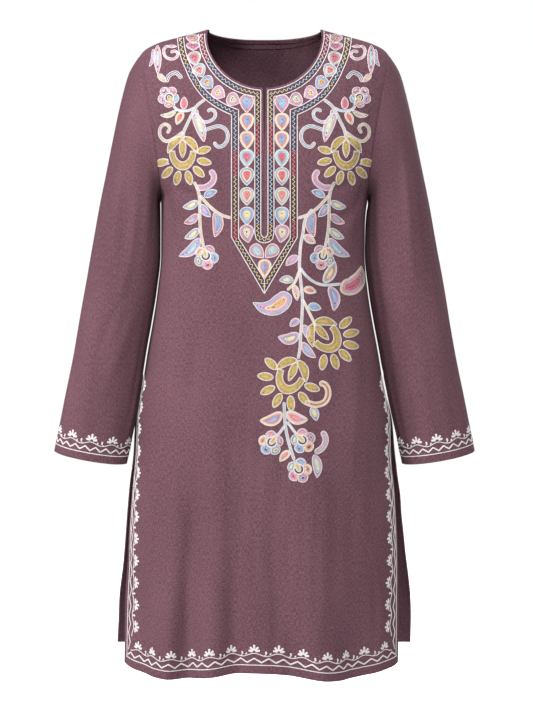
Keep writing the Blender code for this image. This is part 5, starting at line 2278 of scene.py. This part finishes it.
@dataclass
class Borders:
    """The white borders of the front's hem and slit edges, and of both cuffs."""

    tunic: Tunic
    corner: float = 0.013
    top_z: float = -0.532

    def build(self) -> None:
        """Sews all the borders."""
        points, normals = self.tunic.grids[Panel.FRONT]
        hem = Needlework("hem_border_threads")
        width = arc(points[:1], 1)[0, -1]
        Border(EdgeMap(points, normals).place, hem, self.corner, width - self.corner,
               inset=0.016, inset_end=0.016).build()
        top = int(np.argmax(points[:, 0, 2] > self.top_z))
        for side in Side:
            order = slice(None) if side is Side.RIGHT else slice(None, None, -1)
            turned = points[: top + 4, order].transpose(1, 0, 2)
            ways = normals[: top + 4, order].transpose(1, 0, 2)
            length = arc(turned[:1], 1)[0]
            Border(EdgeMap(turned, ways).place, hem, self.corner, length[top], inset=0.034,
                   line_at=0.0150, zigzag_at=0.0235, vine_at=0.0330, zigzag_pitch=0.026,
                   flower_pitch=0.0340, zigzag_half=0.00095).build()
        hem.build()
        cuffs = Needlework("cuff_border_threads")
        for side in Side:
            points, normals = self.tunic.grids[side]
            upward = EdgeMap(points[::-1], normals[::-1])
            length = arc(points[-1:], 1)[0, -1]
            Border(upward.place, cuffs, 0.0, length, closed=True, line_at=0.0125, zigzag_at=0.0195,
                   vine_at=0.0275, zigzag_pitch=0.0165, flower_pitch=0.0315).build()
        cuffs.build()


class Lamp(NamedTuple):
    """A square soft light: where it stands and points, the length of its sides, its power."""

    name: str
    place: tuple[float, float, float]
    aim: tuple[float, float, float]
    size: float
    watts: float


LAMPS = (
    Lamp("key_light", (-3.1, -1.8, 1.1), (0.0, 0.0, -0.45), 1.0, 126.0),
    Lamp("top_light", (0.1, -1.9, 1.9), (0.0, 0.0, -0.1), 1.2, 90.0),
    Lamp("back_light", (1.8, 3.0, 1.2), (0.0, 0.0, -0.45), 1.6, 90.0),
)


@dataclass
class Studio:
    """A wide pale floor under a white sky, soft light mostly from the viewer's left, a camera."""

    floor_z: float = -1.16
    half_width: float = 9.0
    air: float = 0.22

    def light_path(self, tree: bpy.types.NodeTree) -> bpy.types.NodeSocket:
        """Whether a ray comes straight from the camera."""
        return tree.nodes.new("ShaderNodeLightPath").outputs["Is Camera Ray"]

    def build_floor(self) -> None:
        """Makes the floor, which glows for the camera alone, so that it meets the sky unseen."""
        bm = bmesh.new()
        bmesh.ops.create_grid(bm, x_segments=1, y_segments=1, size=self.half_width)
        bmesh.ops.translate(bm, verts=bm.verts[:], vec=(0.0, 0.0, self.floor_z))
        mesh = bpy.data.meshes.new("studio_floor")
        bm.to_mesh(mesh)
        bm.free()
        material = bpy.data.materials.new("pale_floor")
        material.use_nodes = True
        tree = material.node_tree
        shader = tree.nodes["Principled BSDF"]
        set_inputs(shader, {"Base Color": (0.90, 0.90, 0.90, 1.0), "Roughness": 0.9,
                            "Specular IOR Level": 0.1, "Emission Color": (1.0, 1.0, 1.0, 1.0)})
        tree.links.new(self.light_path(tree), shader.inputs["Emission Strength"])
        mesh.materials.append(material)
        add_object("studio_floor", mesh)

    def add_light(self, lamp: Lamp) -> None:
        """Adds a light.

        Args:
            lamp: The light's sizes and places.
        """
        light = bpy.data.lights.new(lamp.name, "AREA")
        light.size = lamp.size
        light.energy = lamp.watts
        place = Vector(lamp.place)
        way = Vector(lamp.aim) - place
        thing = add_object(lamp.name, light)
        thing.location = place
        thing.rotation_euler = way.to_track_quat("-Z", "Y").to_euler()

    def build(self) -> None:
        """Builds the studio."""
        self.build_floor()
        scene = bpy.context.scene
        scene.view_settings.view_transform = "Standard"
        scene.view_settings.look = "None"
        world = bpy.data.worlds.new("studio_air")
        world.use_nodes = True
        tree = world.node_tree
        strength = tree.nodes.new("ShaderNodeMapRange")
        set_inputs(strength, {"To Min": self.air, "To Max": 1.0})
        tree.links.new(self.light_path(tree), strength.inputs["Value"])
        tree.links.new(strength.outputs["Result"], tree.nodes["Background"].inputs["Strength"])
        tree.nodes["Background"].inputs["Color"].default_value = (1.0, 1.0, 1.0, 1.0)
        scene.world = world
        for lamp in LAMPS:
            self.add_light(lamp)
        camera = bpy.data.cameras.new("camera")
        camera.sensor_fit = "VERTICAL"
        camera.sensor_height = 36.0
        camera.lens = LENS
        eye = add_object("camera", camera)
        eye.location = EYE
        eye.rotation_euler = (math.pi / 2, 0.0, 0.0)
        scene.camera = eye


def main() -> None:
    """Builds the tunic, its embroidery and the studio."""
    logging.basicConfig(level=logging.INFO, format="%(message)s", stream=sys.stdout)
    tunic = Tunic()
    tunic.build()
    chart = Chart.of(tunic.pieces["front_panel"])
    NeckBand(chart).build()
    upper = Needlework("upper_spray_threads")
    for motif in UPPER_SPRAY:
        for mirror in (1, -1):
            motif.stitch(chart, upper, mirror)
    upper.build()
    long_spray = Needlework("long_spray_threads")
    for motif in LONG_SPRAY:
        motif.stitch(chart, long_spray, 1)
    long_spray.build()
    Borders(tunic).build()
    Studio().build()
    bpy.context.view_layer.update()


if __name__ == "__main__":
    main()
